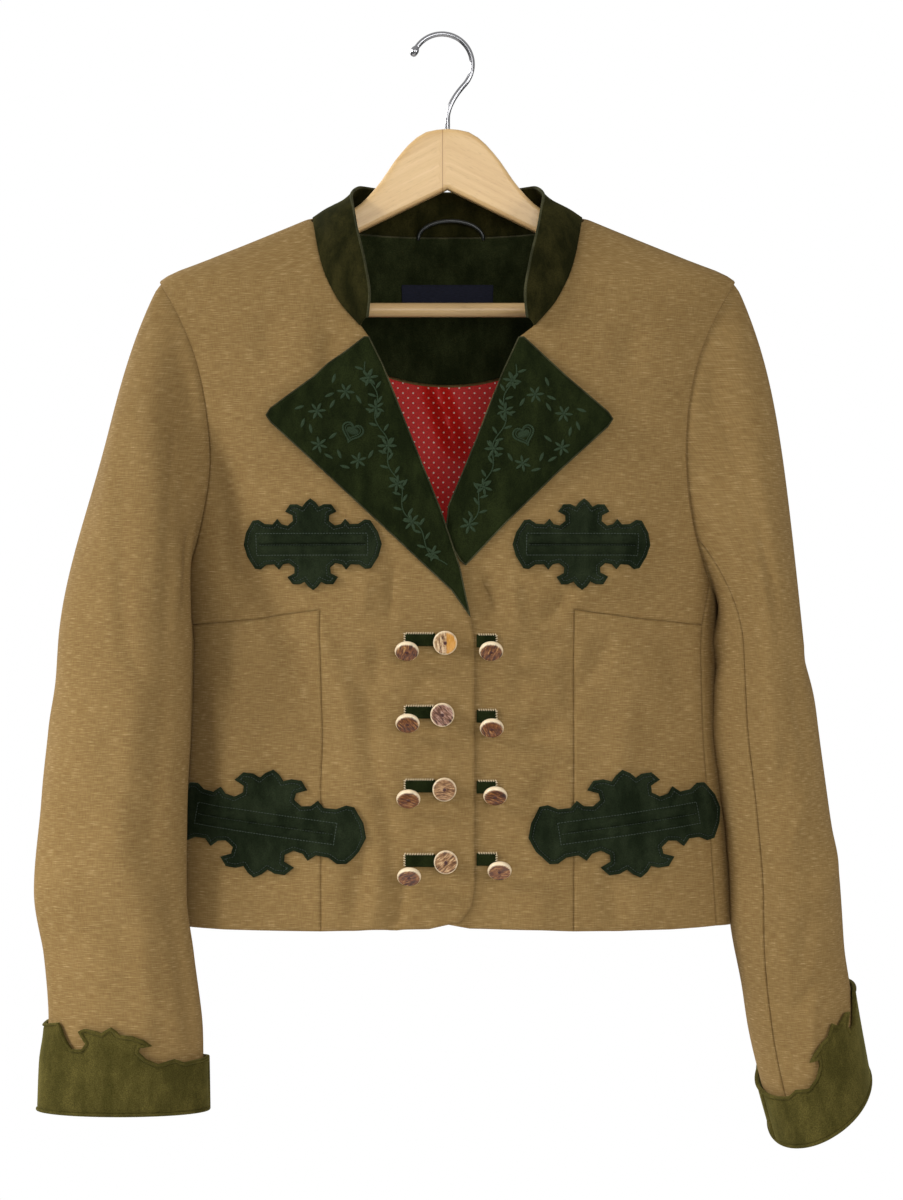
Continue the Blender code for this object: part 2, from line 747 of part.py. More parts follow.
def make_collar():
    """A stand collar: a grid from the neck seam to its upper edge, bowed outwards a little between."""
    columns = 35
    along = np.abs(np.linspace(-1, 1, columns))
    side = np.where(np.linspace(-1, 1, columns) < 0, -1.0, 1.0)
    back = back_neck(201)[100:][::-1]
    front = on_front(through(NECK_FRONT, 101))
    half = np.concatenate([other_side(back), front[1:]])
    seam = body(*half.T)
    length = np.concatenate([[0], np.cumsum(np.linalg.norm(np.diff(seam, axis=0), axis=1))])
    wanted = along * (length[-1] - 1.5)
    low = np.stack([np.interp(wanted, length, seam[:, k]) for k in range(3)], axis=1)
    top_rows = np.array(COLLAR_TOP, float) * (1, 1, -1)
    at = np.concatenate([[0], np.cumsum(np.linalg.norm(np.diff(top_rows, axis=0), axis=1))])
    top = np.stack([smooth(at, top_rows[:, k], along * at[-1]) for k in range(3)], axis=1)
    low[:, 0] = np.abs(low[:, 0]) * side
    top[:, 0] = np.abs(top[:, 0]) * side
    rise = top - low
    rise /= np.linalg.norm(rise, axis=1, keepdims=True)
    low = low + rise * COLLAR_RAISE
    run = np.gradient(low, axis=0)
    face = np.cross(run, rise)
    face /= np.linalg.norm(face, axis=1, keepdims=True)
    centre = np.array([0.0, -10.0, -170.0])
    face *= np.where(((low - centre) * face).sum(axis=1, keepdims=True) < 0, -1.0, 1.0)
    rows = np.linspace(0, 1, 4)
    outer = np.stack([low + (top - low) * r + face * (2.2 * math.sin(math.pi * r)) for r in rows])
    sheet("collar", outer, outer - face * COLLAR_THICK, "velvet")


def make_lapels():
    def stand_off(flat):
        """The lapel rises from the roll line to its tip and free edge."""
        x = np.abs(body(flat[:, 0], flat[:, 1])[:, 0])
        tip = fade(x, 40, 120)
        return LAPEL_LIFT * tip * (1 - 0.35 * fade(flat[:, 1], 285, 400))

    right = np.concatenate([LAPEL_RIGHT[:-1], np.array(EDGE_RIGHT[:6], float)[::-1]])
    left = np.concatenate([LAPEL_LEFT, LAPEL_LEFT_END, np.array(EDGE_LEFT[:3], float)[::-1]])
    right = straight(np.concatenate([right, right[:1]]), 20)[:-1]
    left = straight(np.concatenate([left, left[:1]]), 20)[:-1]
    low, top = LAPEL_GAP, LAPEL_GAP + VELVET
    panel("lapel_right", mirrored(on_front(right)), body, low, top, 20, "velvet", lift=stand_off)
    panel("lapel_left", on_front(left), left_front, low, top, 20, "velvet", lift=stand_off)


# Sleeves and cuffs


def make_sleeves():
    for name in ("right", "left"):
        form = sleeve_form(name)
        rows = np.concatenate([[0.018], np.linspace(0, 1, 9)[1:], np.linspace(1, SLEEVE_END, 11)[1:]])
        parts = (("top", UNDER_TO - 360, UNDER_FROM, 13), ("under", UNDER_FROM, UNDER_TO, 5))
        for part, start, end, count in parts:
            turns = np.linspace(start + SEAM_DEGREES, end - SEAM_DEGREES, count + 1)
            row, turn = np.meshgrid(rows, turns, indexing="ij")
            outer = form(turn, row)
            out = normals(form, turn, row, 0.5, 0.01) * OUTWARD[name]
            sheet(f"{part}_sleeve_{name}", outer, outer - out * CLOTH, "linen")


def make_cuffs():
    """Each cuff wraps its sleeve's end, from a straight foot up to a curled edge that lies on the cloth.
    Its two ends meet at a seam on the inner side."""
    curl = np.array(CUFF_CURL, float)
    phase = np.degrees(np.arccos(1 - 2 * curl[:, 0] / CUFF_WIDE))
    over = np.stack([phase, curl[:, 1]], axis=1)
    edge = np.concatenate([over[:0:-1] * (-1, 1), over])
    foot = np.stack([np.linspace(180, -180, 23), np.zeros(23)], axis=1)
    for name in ("right", "left"):
        rows = np.array(SLEEVE_RIGHT if name == "right" else SLEEVE_LEFT, float)
        around = np.concatenate([straight(np.concatenate([edge, foot[:1]]), 13)[:-1], foot])
        drop = rows[-1, 0] - around[:, 1]
        row = np.interp(drop, rows[:, 0], np.arange(1, len(rows) + 1))
        outline = np.stack([around[:, 0] + CUFF_TURN[name], row], axis=1)
        low, high = CUFF_GAP, CUFF_GAP + VELVET
        panel(
            "cuff_" + name,
            outline,
            sleeve_form(name),
            low,
            high,
            (15, 0.45),
            "cuff_velvet",
            outward=OUTWARD[name],
            reach=(0.5, 0.01),
        )


# Pockets, tabs and buttons


def make_pockets():
    quarter = np.array(CURL, float)
    half = np.concatenate([quarter, quarter[-2::-1] * (-1, 1)])
    whole = np.concatenate([half[:-1], -half[:-1]])
    for level_name, (centre_x, drop, scale_x, scale_y, slope) in POCKETS.items():
        centre_round = on_front(np.array([(centre_x, drop)]))[0, 0]
        places = np.linspace(0, math.pi * ROUND, 600)
        points = body(places, np.full(600, drop))
        arcs = np.concatenate([[0], np.cumsum(np.linalg.norm(np.diff(points, axis=0), axis=1))])
        centre_arc = np.interp(centre_round, places, arcs)
        lean = math.radians(slope)

        def place(local):
            """Patch places turned by the slope and laid round the body at their true length."""
            x = local[:, 0] * math.cos(lean) - local[:, 1] * math.sin(lean)
            y = local[:, 0] * math.sin(lean) + local[:, 1] * math.cos(lean)
            return np.stack([np.interp(centre_arc + x, arcs, places), drop - y], axis=1)

        scale = np.array([scale_x, scale_y])
        outline = place(whole * scale)
        welt = np.array(WELT_HALF) * scale

        def relief(flat):
            """The welt's rise: full inside its rectangle and level outside, over a short slope."""
            side = np.interp(flat[:, 0], places, arcs) - centre_arc
            up = drop - flat[:, 1]
            x = side * math.cos(lean) + up * math.sin(lean)
            y = up * math.cos(lean) - side * math.sin(lean)
            inside_x = 1 - fade(np.abs(x), welt[0] - 3, welt[0])
            inside_y = 1 - fade(np.abs(y), welt[1] - 3, welt[1])
            return WELT_RISE * inside_x * inside_y

        def right_relief(flat):
            return relief(flat * (-1, 1))

        low = LAYER_GAP
        for name, turn, form, rise in (
            ("left", np.array, left_front, relief),
            ("right", mirrored, body, right_relief),
        ):
            flat = turn(outline)
            patch_name = f"pocket_{level_name}_{name}"
            panel(patch_name, flat, form, low, low + PATCH, 11, "applique", relief=rise)


def make_tabs():
    for name, form in (("right", body), ("left", left_front)):
        near, far = TAB_SPAN[name]
        for number, drop in enumerate(TAB_DROPS[name], 1):
            half = TAB_HIGH / 2
            outline = [(near, drop - half), (far, drop - half), (far, drop + half), (near, drop + half)]
            outline = straight([*outline, outline[0]], 12)[:-1]
            flat = on_front(outline)
            flat = mirrored(flat) if name == "right" else flat
            panel(f"tab_{name}_{number}", flat, form, LAYER_GAP, LAYER_GAP + TAB_THICK, 14, "velvet")


def make_buttons():
    """Horn slices: a turned disc with a rounded edge, facing out or hanging face down on its thread."""
    profile = ((0, 0), (0.80, 0), (0.95, 0.18), (1, 0.5), (0.93, 0.85), (0.72, 1), (0, 0.93))
    for column, drops in BUTTON_DROPS.items():
        side = {"right": -1, "centre": -1, "left": 1}[column]
        form = left_front if column == "left" else body
        for number, drop in enumerate(drops):
            x = side * BUTTON_X[column][number]
            seat = form(*on_front(np.array([(x, drop)])).T)[0]
            tilt = math.radians(TILTED if column != "centre" else 6.0)
            reach = BUTTON_RADIUS * math.sin(tilt) + TAB_THICK + 2 * LAYER_GAP
            work = bmesh.new()
            points = [work.verts.new((BUTTON_RADIUS * r * MM, 0, BUTTON_THICK * h * MM)) for r, h in profile]
            edges = [work.edges.new(pair) for pair in zip(points, points[1:])]
            bmesh.ops.spin(
                work,
                geom=points + edges,
                cent=(0, 0, 0),
                axis=(0, 0, 1),
                dvec=(0, 0, 0),
                angle=math.tau,
                steps=12,
                use_merge=True,
                use_duplicate=False,
            )
            bmesh.ops.remove_doubles(work, verts=work.verts, dist=1e-6)
            bmesh.ops.recalc_face_normals(work, faces=work.faces)
            mesh = bpy.data.meshes.new(f"button_{column}_{number + 1}")
            work.to_mesh(mesh)
            work.free()
            mesh.materials.append(material("horn"))
            obj = bpy.data.objects.new(mesh.name, mesh)
            obj.location = ((seat[0] + BODY_X) * MM, (seat[1] - reach) * MM, seat[2] * MM)
            obj.rotation_euler = (math.radians(90) + tilt, 0, 0)
            bpy.context.collection.objects.link(obj)


# Hanger


def make_hanger():
    half = np.array(HANGER_HALF, float)
    outline = np.concatenate([half[:-1], half[:0:-1] * (-1, 1)])
    outline[len(half) - 1 :, 0] = -np.abs(outline[len(half) - 1 :, 0])
    count = len(outline)
    thick = np.where(np.abs(outline[:, 0]) > 150, HANGER_THICK * 0.92, HANGER_THICK) / 2
    front = np.stack([outline[:, 0], -thick, -outline[:, 1]], axis=1)
    back = np.stack([outline[:, 0], thick, -outline[:, 1]], axis=1)
    faces = [list(range(count)), [k + count for k in reversed(range(count))]]
    faces += [[(k + 1) % count, k, k + count, (k + 1) % count + count] for k in range(count)]
    wood = add_object("hanger_wood", np.concatenate([front, back]), faces, "beech")
    bevel = wood.modifiers.new("rounded edges", "BEVEL")
    bevel.width = 2.6 * MM
    bevel.segments = 1
    bevel.limit_method = "ANGLE"
    bevel.angle_limit = math.radians(50)
    middle = (BODY_X, 0, -BAR_DROP)
    rod("hanger_bar", BAR_RADIUS, BAR_HALF * 2, middle, (0, 90, 0), "beech")
    cut(wood, rod("bar_hole", BAR_RADIUS + FIT, (BAR_HALF + FIT) * 2, middle, (0, 90, 0), "beech"))
    top = HANGER_HALF[0][1]
    depth = STEM_IN_WOOD + FIT
    cut(wood, rod("stem_hole", WIRE + FIT, depth * 2, (BODY_X, 0, -top), (0, 0, 0), "beech"))


def rod(name, radius, length, centre, turn, finish):
    """A round bar, made along Z, then turned and placed, in mm and degrees."""
    work = bmesh.new()
    bmesh.ops.create_cone(
        work, cap_ends=True, segments=16, radius1=radius * MM, radius2=radius * MM, depth=length * MM
    )
    mesh = bpy.data.meshes.new(name)
    work.to_mesh(mesh)
    work.free()
    mesh.materials.append(material(finish))
    mesh.shade_smooth()
    mesh.set_sharp_from_angle(angle=math.radians(40))
    obj = bpy.data.objects.new(name, mesh)
    obj.location = tuple(c * MM for c in centre)
    obj.rotation_euler = tuple(math.radians(t) for t in turn)
    bpy.context.collection.objects.link(obj)
    return obj


def cut(target, cutter):
    """The cutter taken out of the target, with the cutter left out of the model."""
    cutter.hide_render = True
    cutter.display_type = "WIRE"
    step = target.modifiers.new(cutter.name, "BOOLEAN")
    step.operation = "DIFFERENCE"
    step.solver = "EXACT"
    step.object = cutter


def make_hook():
    """The wire hook: a round bend from the tip over the top to the stem, then straight into the wood."""
    middle = HOOK_RADIUS - WIRE  # drop of the bend's centre, with the origin under its top
    bend = np.radians(np.linspace(158, -42, 27))
    arc = np.stack([HOOK_RADIUS * np.cos(bend), 0 * bend, -middle + HOOK_RADIUS * np.sin(bend)], axis=1)
    foot = HANGER_HALF[0][1] + STEM_IN_WOOD
    ease = np.array([(10.5, 0, -41.5), (5.6, 0, -46.5), (4.2, 0, -52), (STEM_X, 0, -60), (STEM_X, 0, -foot)])
    tube("hanger_hook", np.concatenate([arc, ease]), WIRE, "steel", 1, shift=0.0)


make_fronts()
make_back()
make_inside()
make_collar()
make_lapels()
make_sleeves()
make_cuffs()
make_pockets()
make_tabs()
make_buttons()
make_hanger()
make_hook()
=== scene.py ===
"""A women's trachten jacket on a wooden hanger, dressed over its frame.

Lengths are in millimetres until a mesh is made, +Z up, front towards -Y, and "drop" is a distance down from
the top of the hook. "Right" is the wearer's right, which is -X.

The body of the jacket is one form. Its levels are flattened ovals, and a point on it is named by "round",
the length of cloth from the centre front round the oval, and its drop. Every panel is an outline in those two
numbers, filled with a fine net and given a wall. What lies on a panel uses the same form, moved out.
"""

import math

import bpy
import numpy as np
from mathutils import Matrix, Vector
from mathutils.geometry import delaunay_2d_cdt


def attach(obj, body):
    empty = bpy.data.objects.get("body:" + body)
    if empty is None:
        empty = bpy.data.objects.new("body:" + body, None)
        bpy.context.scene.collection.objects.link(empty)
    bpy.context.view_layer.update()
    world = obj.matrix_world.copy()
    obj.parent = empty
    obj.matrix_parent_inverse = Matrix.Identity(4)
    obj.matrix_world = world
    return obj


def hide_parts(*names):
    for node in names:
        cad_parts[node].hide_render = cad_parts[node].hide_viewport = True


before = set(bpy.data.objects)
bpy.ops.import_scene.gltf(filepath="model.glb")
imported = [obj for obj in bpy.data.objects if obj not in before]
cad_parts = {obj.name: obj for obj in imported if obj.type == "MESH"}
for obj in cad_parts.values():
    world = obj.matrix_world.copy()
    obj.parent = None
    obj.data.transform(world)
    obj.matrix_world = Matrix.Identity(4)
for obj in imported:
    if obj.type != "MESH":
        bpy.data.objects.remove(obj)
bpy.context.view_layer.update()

MM = 0.001
BODY_X = 4.0  # the jacket hangs this far to one side of the hook's top
CLOTH = 2.0
VELVET = 1.8
PATCH = 1.3
LINING = 1.0
LABEL = 0.9
SEAM_OVERLAP = 0.1
SEAM_DEEP, SEAM_WIDE = 1.4, 2.2
LAYER_GAP = 0.6
INSIDE_GAP = 1.5
CUFF_GAP = 1.7
OVAL = 2.4
NET = 4.0  # mesh size of the cloth

# The body's levels, from the neck down to the hem.
BODY = (
    # drop, half_width, front_depth, back_depth
    (110, 50, 9, 9),
    (132, 98, 17, 17),
    (150, 141, 28, 26),
    (165, 178, 36, 33),
    (176, 205, 41, 37),
    (181, 210.5, 43, 38),
    (200, 209, 48, 42),
    (240, 206, 55, 46),
    (300, 204.5, 60, 49),
    (380, 200, 64, 50),
    (440, 196.5, 62, 48),
    (500, 198, 58, 46),
    (580, 204, 56, 47),
    (680, 211, 55, 48),
)

ARMHOLE_DROP = 298.0
ARMHOLE_HALF = 117.0
ARMHOLE_SPREAD = 35.7
SIDE_SEAM = ((399, 72), (445, 67), (648, 67))  # drop, degrees
BACK_SEAM = ((399, 108), (445, 112), (648, 112))
SEAM_TOP = 399.0
BUST_SIDE_DROP = 430.0
HEM_DROP = 647.0
PRINCESS_X = 90.0
PRINCESS_FOOT = 22.0  # the seam's points start this far above the hem
FRONT_CORNER = 22.0  # the hem starts this far from the end of the front edge
SHOULDER_SEAM = ((120, 90), (190, 90))  # drop, degrees
BUST_SEAM = ((90, 419), (135, 425), (182, 430))  # x, drop
NECK_FRONT = ((98, 132), (89.5, 171), (77.3, 197.5), (61, 217))  # x, drop
NECK_BACK_DROP = 143.0
UNDERLAP = 3.0
UNDERLAP_X, UNDERLAP_DROP = (20, 62), (300, 342)  # where the left front rises out of it

# Inner edge of each front, from the top of the lapel's roll line to the hem.
EDGE_RIGHT = (
    # x, drop
    (55.5, 225),
    (45.6, 245),
    (25, 297),
    (4.5, 348),
    (-8.9, 388),
    (-16.5, 424),
    (-19.5, 450),
    (-19.5, 612),
    (-17, 630),
    (-9, 641),
)
EDGE_LEFT = (
    (50.7, 225),
    (38.7, 251),
    (19.6, 300),
    (4, 345),
    (-8, 385),
    (-17, 425),
    (-20, 450),
    (-20, 612),
    (-16, 632),
    (-6, 642),
)

# Lapels: the tip and the lower edge, down to the front edge.
LAPEL_RIGHT = (
    # x, drop
    (59, 225),
    (92, 252),
    (124.5, 276),
    (127.8, 281),
    (124, 286.5),
    (70, 337),
    (-3, 405),
    (-16, 424),
)
LAPEL_LEFT = (
    (54.5, 225),
    (86, 255),
    (113.5, 279),
    (116.8, 284),
    (113, 289.5),
    (74.8, 325),
    (42.2, 357),
    (13, 387.5),
)
LAPEL_LEFT_END = ((9.0, 384), (4.8, 377), (-1.2, 362), (0.4, 346))
LAPEL_GAP = 0.8
LAPEL_LIFT = 5.0
LAPEL_RISE_X, LAPEL_FALL_DROP, LAPEL_FALL = (40, 120), (285, 400), 0.35
EDGE_ROLL, EDGE_ROLL_IN, EDGE_ROLL_DOWN = 0.55, 0.35, 0.75  # radius and place of the roll along its edge

# Stand collar: its upper edge, from the centre back to the front end.
COLLAR_TOP = (
    # x, y, drop
    (0, 20, 112),
    (38, 18, 111),
    (63, 8, 109),
    (70, -12, 117),
    (66.5, -36, 141),
    (59.5, -54, 172),
    (56, -61, 196),
    (57.5, -58, 211),
)
COLLAR_THICK = 2.4
COLLAR_RAISE = -1.0
COLLAR_HIGH = 35
COLLAR_BOW = 2.2
COLLAR_ROLL = 1.15  # radius of the roll along its upper edge
COLLAR_SHORT = 1.5  # its ends stop this far before those of the neck seam
NECK_MIDDLE = (0.0, -10.0, -170.0)

DOT_ROWS, DOT_STEP, DOT_RADIUS = 3.7, 7.4, 0.62  # pin dots of the lining

FACING_CENTRE_DROP = 150.0
FACING_HALF = 122.0
FACING_DEEP = 101.0
FACING_SHARE, LINING_SHARE = 0.84, 0.78  # how far each goes along the facing's half width
LINING_SIDE, LINING_TOP, LINING_FOOT = 120.0, 300, 632.0  # degrees, drop, drop
LABEL_HALF = 34
LABEL_TOP, LABEL_FOOT = 176.5, 199
LOOP_HALF, LOOP_DROP, LOOP_RISE = 24.0, 145.5, 13.0
LOOP_RADIUS = 1.5
LOOP_X, LOOP_OUT, LOOP_BOW = 2.5, 6.6, 2
FACING_ROLL = 0.9  # radius of the roll along the facing's upper edge

# Sleeve sections below the armhole. x is measured outwards, roll and pitch tilt the section.
SLEEVES = {
    "right": (
        # drop, centre_x, centre_y, half_width, half_depth, roll, pitch
        (445, 229, -54, 47.5, 42, 0, 0),
        (500, 231.5, -53, 49, 40, 0, 0),
        (560, 237, -52, 52, 36, 0, 0),
        (620, 240, -51, 54.5, 32, 0, 0),
        (665, 234, -49, 53.5, 30, 0, 0),
        (715, 229.5, -47, 55, 27, 0, 0),
        (742, 231, -46, 57, 25.5, 0, 0),
        (776, 231.5, -45, 58, 25, 0, 0),
    ),
    "left": (
        (445, 230.5, -4, 31.5, 59, 0, 0),
        (500, 235, -6, 34, 55, 0, 0),
        (560, 242, -7, 35, 51.5, 0, 0),
        (620, 248.5, -8, 37, 47, 0, 0),
        (662, 250, -9, 38, 44, 0.1, 0.08),
        (700, 254.5, -10, 37, 42, 0.42, 0.25),
        (733, 261, -11, 34.5, 43, 0.68, 0.4),
        (776, 270.5, -12, 33.5, 45, 0.56, 0.42),
    ),
}
SLEEVE_TURN = {"right": -55.0, "left": 0.0}
OUTWARD = {"right": 1.0, "left": -1.0}
HEAD_BULGE = 57.0
UNDERARM_BULGE = 13.0
BULGE_OUT, BULGE_FORWARD = 0.9, 0.45  # shares of the bulge
HEAD_STRAIGHT = 0.8  # share of the straight way in how the cloth leaves the armhole
UNDER_FROM, UNDER_TO = 128.0, 232.0
SLEEVE_END = 7.2
FLANGE = 2.0  # the sleeve's seam allowance under the body
FLANGE_TOP, FLANGE_FOOT = 0.95, 1.9
TURN_MM, ROW_MM = 0.82, 60.0  # mm for each degree and each row of a sleeve, near enough for a crease

# The largest creases of the sleeves: ridges (+) and troughs (-) laid across the form.
SLEEVE_CREASES = {
    "right": (
        # from_degrees, from_row, to_degrees, to_row, height, half_breadth
        (20, 0.10, 88, 0.75, 5.0, 14),
        (48, 0.05, 110, 0.62, -4.0, 13),
        (-25, 0.35, 40, 1.6, -3.5, 18),
        (-60, 0.2, -110, 1.2, 4.0, 18),
        (30, 3.0, 75, 4.4, 3.0, 14),
    ),
    "left": (
        (18, 0.08, 80, 0.7, 5.0, 14),
        (50, 0.06, 112, 0.55, -4.0, 13),
        (-30, 0.3, 30, 1.5, -3.5, 18),
        (-60, 0.2, -110, 1.2, 4.0, 18),
        (20, 3.4, 85, 4.3, 3.5, 14),
    ),
}

# Smaller creases, for the look alone.
SLEEVE_WRINKLES = {
    "right": (
        # from_degrees, from_row, to_degrees, to_row, height, half_breadth
        (62, 0.02, 80, 1.1, -2.6, 5),
        (96, 0.1, 84, 0.95, 2.2, 6),
        (25, 0.5, 60, 1.5, -2.2, 7),
        (78, 1.1, 70, 4.0, -2.6, 10),
        (52, 1.4, 44, 3.6, 1.8, 9),
        (20, 2.2, 60, 3.0, -1.8, 8),
        (88, 3.4, 96, 6.8, -2.4, 8),
        (64, 4.2, 50, 6.6, 2.0, 8),
        (30, 5.2, 74, 6.1, -1.8, 7),
        (10, 3.9, 52, 4.8, -2.0, 9),
        (-40, 1.6, -80, 3.2, 2.6, 12),
        (-95, 2.4, -60, 4.4, -2.6, 11),
        (-110, 4.4, -75, 6.2, 2.2, 10),
        (150, 1.0, 210, 1.9, -2.4, 9),
        (215, 2.3, 160, 3.1, 2.0, 9),
    ),
    "left": (
        (60, 0.03, 84, 1.0, -2.6, 5),
        (98, 0.08, 88, 0.9, 2.2, 6),
        (66, 0.9, 58, 2.6, -2.4, 9),
        (105, 0.8, 96, 3.0, 2.2, 10),
        (80, 2.2, 110, 3.1, -2.6, 8),
        (60, 2.7, 100, 3.6, 2.0, 7),
        (70, 3.6, 88, 5.4, -2.2, 9),
        (112, 3.6, 104, 5.6, 1.8, 8),
        (55, 5.3, 110, 5.9, -1.8, 7),
        (76, 5.6, 92, 6.9, 2.0, 6),
        (118, 5.2, 112, 7.0, -2.0, 6),
        (-40, 1.4, -84, 3.0, 2.6, 12),
        (-96, 2.2, -62, 4.2, -2.6, 11),
        (-112, 4.2, -78, 6.0, 2.2, 10),
        (152, 1.0, 208, 1.8, -2.4, 9),
        (214, 2.2, 158, 3.2, 2.0, 9),
        (176, 0.2, 176, 2.7, 8.0, 26),
        (176, 1.9, 176, 5.2, 7.0, 26),
    ),
}

# The soft folds of the body, as lines across the cloth. The wearer's right is below 0, past 340 is the back.
BODY_FOLDS = (
    # round, drop, round, drop, height, half_breadth
    (-166, 290, -148, 420, -5.8, 13),
    (-150, 390, -118, 475, -6.9, 16),
    (-122, 450, -84, 535, -5.8, 13),
    (-98, 420, -64, 500, 4.5, 9),
    (-62, 470, -50, 545, -4.2, 7),
    (-48, 540, -34, 600, -3.8, 7),
    (-40, 384, -41, 426, -4.2, 4),
    (-58, 396, -60, 424, 3.0, 5),
    (-53, 440, -49, 476, -3.4, 6),
    (-62, 585, -63, 644, -4.9, 7),
    (-46, 590, -50, 646, 3.8, 6),
    (-30, 612, -37, 648, -4.5, 4),
    (-4, 468, -26, 470, -2.6, 9),
    (-4, 520, -28, 522, -2.6, 9),
    (-2, 572, -28, 574, -2.5, 9),
    (-124, 204, -124, 250, -3.4, 10),
    (-96, 196, -98, 232, 2.6, 9),
    (-78, 222, -86, 250, -3.8, 7),
    (-170, 470, -160, 560, 3.8, 10),
    (24, 392, 34, 424, -5.3, 4),
    (45, 396, 53, 440, 3.8, 5),
    (52, 436, 52, 486, -3.0, 5),
    (88, 406, 68, 426, -4.2, 6),
    (132, 388, 84, 414, 3.8, 8),
    (165, 352, 138, 402, -5.6, 14),
    (88, 436, 88, 500, -3.8, 6),
    (60, 446, 84, 446, -3.4, 9),
    (52, 508, 82, 500, -4.5, 9),
    (74, 532, 58, 566, -3.4, 8),
    (116, 438, 96, 478, -3.8, 8),
    (134, 470, 120, 560, 3.4, 12),
    (160, 430, 176, 500, -4.2, 12),
    (60, 600, 66, 646, 3.0, 9),
    (110, 604, 118, 647, -3.0, 9),
    (128, 212, 126, 256, -2.9, 11),
    (300, 420, 360, 560, -4.9, 18),
    (330, 300, 352, 420, 4.2, 20),
    (560, 420, 500, 560, -4.9, 18),
    (530, 300, 508, 420, 4.2, 20),
    (428, 520, 424, 640, 3.8, 16),
    (392, 560, 396, 646, -3.4, 12),
    (466, 560, 470, 646, -3.4, 12),
    (346, 246, 394, 332, -5.2, 14),
    (514, 252, 470, 322, -5.6, 13),
    (404, 296, 399, 424, 3.8, 14),
    (458, 318, 463, 446, 4.2, 15),
    (382, 452, 364, 562, -4.8, 14),
    (484, 470, 500, 556, -4.4, 13),
    (352, 596, 370, 648, -4.2, 10),
    (512, 600, 494, 648, -4.4, 9),
)

# The same for the lining, round from the centre front and drop: a loose pleat and the centre seam.
LINING_FOLDS = (
    (452, 246, 434, 302, 9.0, 6),
    (402, 262, 412, 330, 2.0, 8),
    (424.5, 240, 424.5, 640, -0.9, 1.8),
)

# Embroidery on a lapel, as x and drop on the right one.
HEART = (66.7, 292.0)
FLOWERS = (
    # x, drop, size, turn
    (55.4, 254.5, 6.4, 10),
    (50.4, 276, 6.0, 35),
    (42.5, 303, 6.6, 0),
    (35.5, 330, 6.2, 22),
    (25, 357, 6.4, 48),
    (10, 379, 5.6, 15),
    (91.6, 278.5, 6.0, 5),
    (90.2, 302.4, 5.8, 40),
    (62.8, 313.5, 5.8, 20),
    (71.7, 264.6, 6.0, 55),
)
LEAVES = (
    # x, drop, degrees
    (83, 267, 25),
    (81, 273.5, 60),
    (101.5, 287, 70),
    (96, 291, 100),
    (80.5, 296, 40),
    (83.5, 310.5, 150),
    (76, 309, 110),
    (72, 318, 165),
    (104, 276, 20),
    (54, 309, 60),
    (80, 255.5, 70),
    (62.5, 270, 120),
)
STEM = ((58, 242), (53, 262), (47, 290), (39, 317), (31, 343), (19, 366), (2, 388))
STEM_WAVE, STEM_WAVE_LONG = 2.4, 34
STEM_LEAF_FROM, STEM_LEAF_EVERY, STEM_LEAF_REACH, STEM_LEAF_SIZE = 6.0, 5.4, 4.0, 3.3
STEM_LEAF_TURN = (-18, 238)
HEART_SIZE, HEART_TURN = 7.4, -20
EMBROIDERY_SHIFT = {"right": (0.0, 0.0), "left": (-9.5, 2.0)}
STITCH = {
    # length, spacing, half breadth, height
    "stem": (2.6, 1.9, 0.5, 0.4),
    "heart": (2.2, 1.5, 0.75, 0.65),
    "heart inside": (1.8, 1.4, 0.5, 0.5),
    "round the welts": (1.7, 2.1, 0.28, 0.25),
    "slit": (1.7, 2.0, 0.22, 0.5),
    "applique": (1.5, 2.0, 0.24, 0.2),
    "tab": (2.0, 1.7, 0.5, 0.5),
}

# One quarter of the curled outline of the pocket appliques, at the size of the upper pockets.
CURL = (
    # x, y
    (50.5, 0),
    (48, 8.5),
    (42.5, 17),
    (38.5, 17.5),
    (34, 14.5),
    (28, 14.2),
    (24.5, 18),
    (21.5, 14.3),
    (17, 13.3),
    (13, 16.5),
    (13.3, 20.5),
    (18.5, 23.2),
    (14.8, 28.3),
    (9.7, 28.4),
    (6, 26.6),
    (3.4, 30),
    (0, 32.5),
)
POCKETS = {
    # centre_x, centre_drop, scale_x, scale_y, slope in degrees
    "upper": (96, 372.5, 0.98, 1.0, 0.0),
    "lower": (131, 571.5, 1.45, 1.2, 7.5),
}
WELT_LONG = {"upper": 38.5, "lower": 50.0}  # half its length
WELT_HIGH = 6.3
WELT_STITCHES_AWAY = (1.03, 1.22)  # the box of stitches against the box of the welts
LIP_HIGH, SLIT_DEEP, WELT_LINE_DEEP = 1.1, 0.9, 0.35
CORD = 2.2  # width of the rolled edge
CORD_HIGH = 0.9
GROOVE_DEEP, GROOVE_IN, GROOVE_HALF = 0.55, 0.25, 0.4  # just inside the rolled edge

# The cuff's curled upper edge, from its outer side over the front to the seam at its inner side.
CUFF_CURL = (
    # across, height above the foot
    (0, 62),
    (11.5, 67),
    (16, 57),
    (22.5, 48),
    (29, 48),
    (31.7, 53),
    (26, 60.5),
    (31, 63),
    (43, 60),
    (49.6, 65),
    (56, 59),
    (65, 58.4),
    (73, 56),
    (78, 52),
    (70.4, 50.6),
    (69.7, 47),
    (75, 41),
    (83, 37),
    (94, 40),
    (100, 37),
    (113, 39),
)
CUFF_WIDE = 113.0
CUFF_TURN = {"right": -55.0, "left": -20.0}

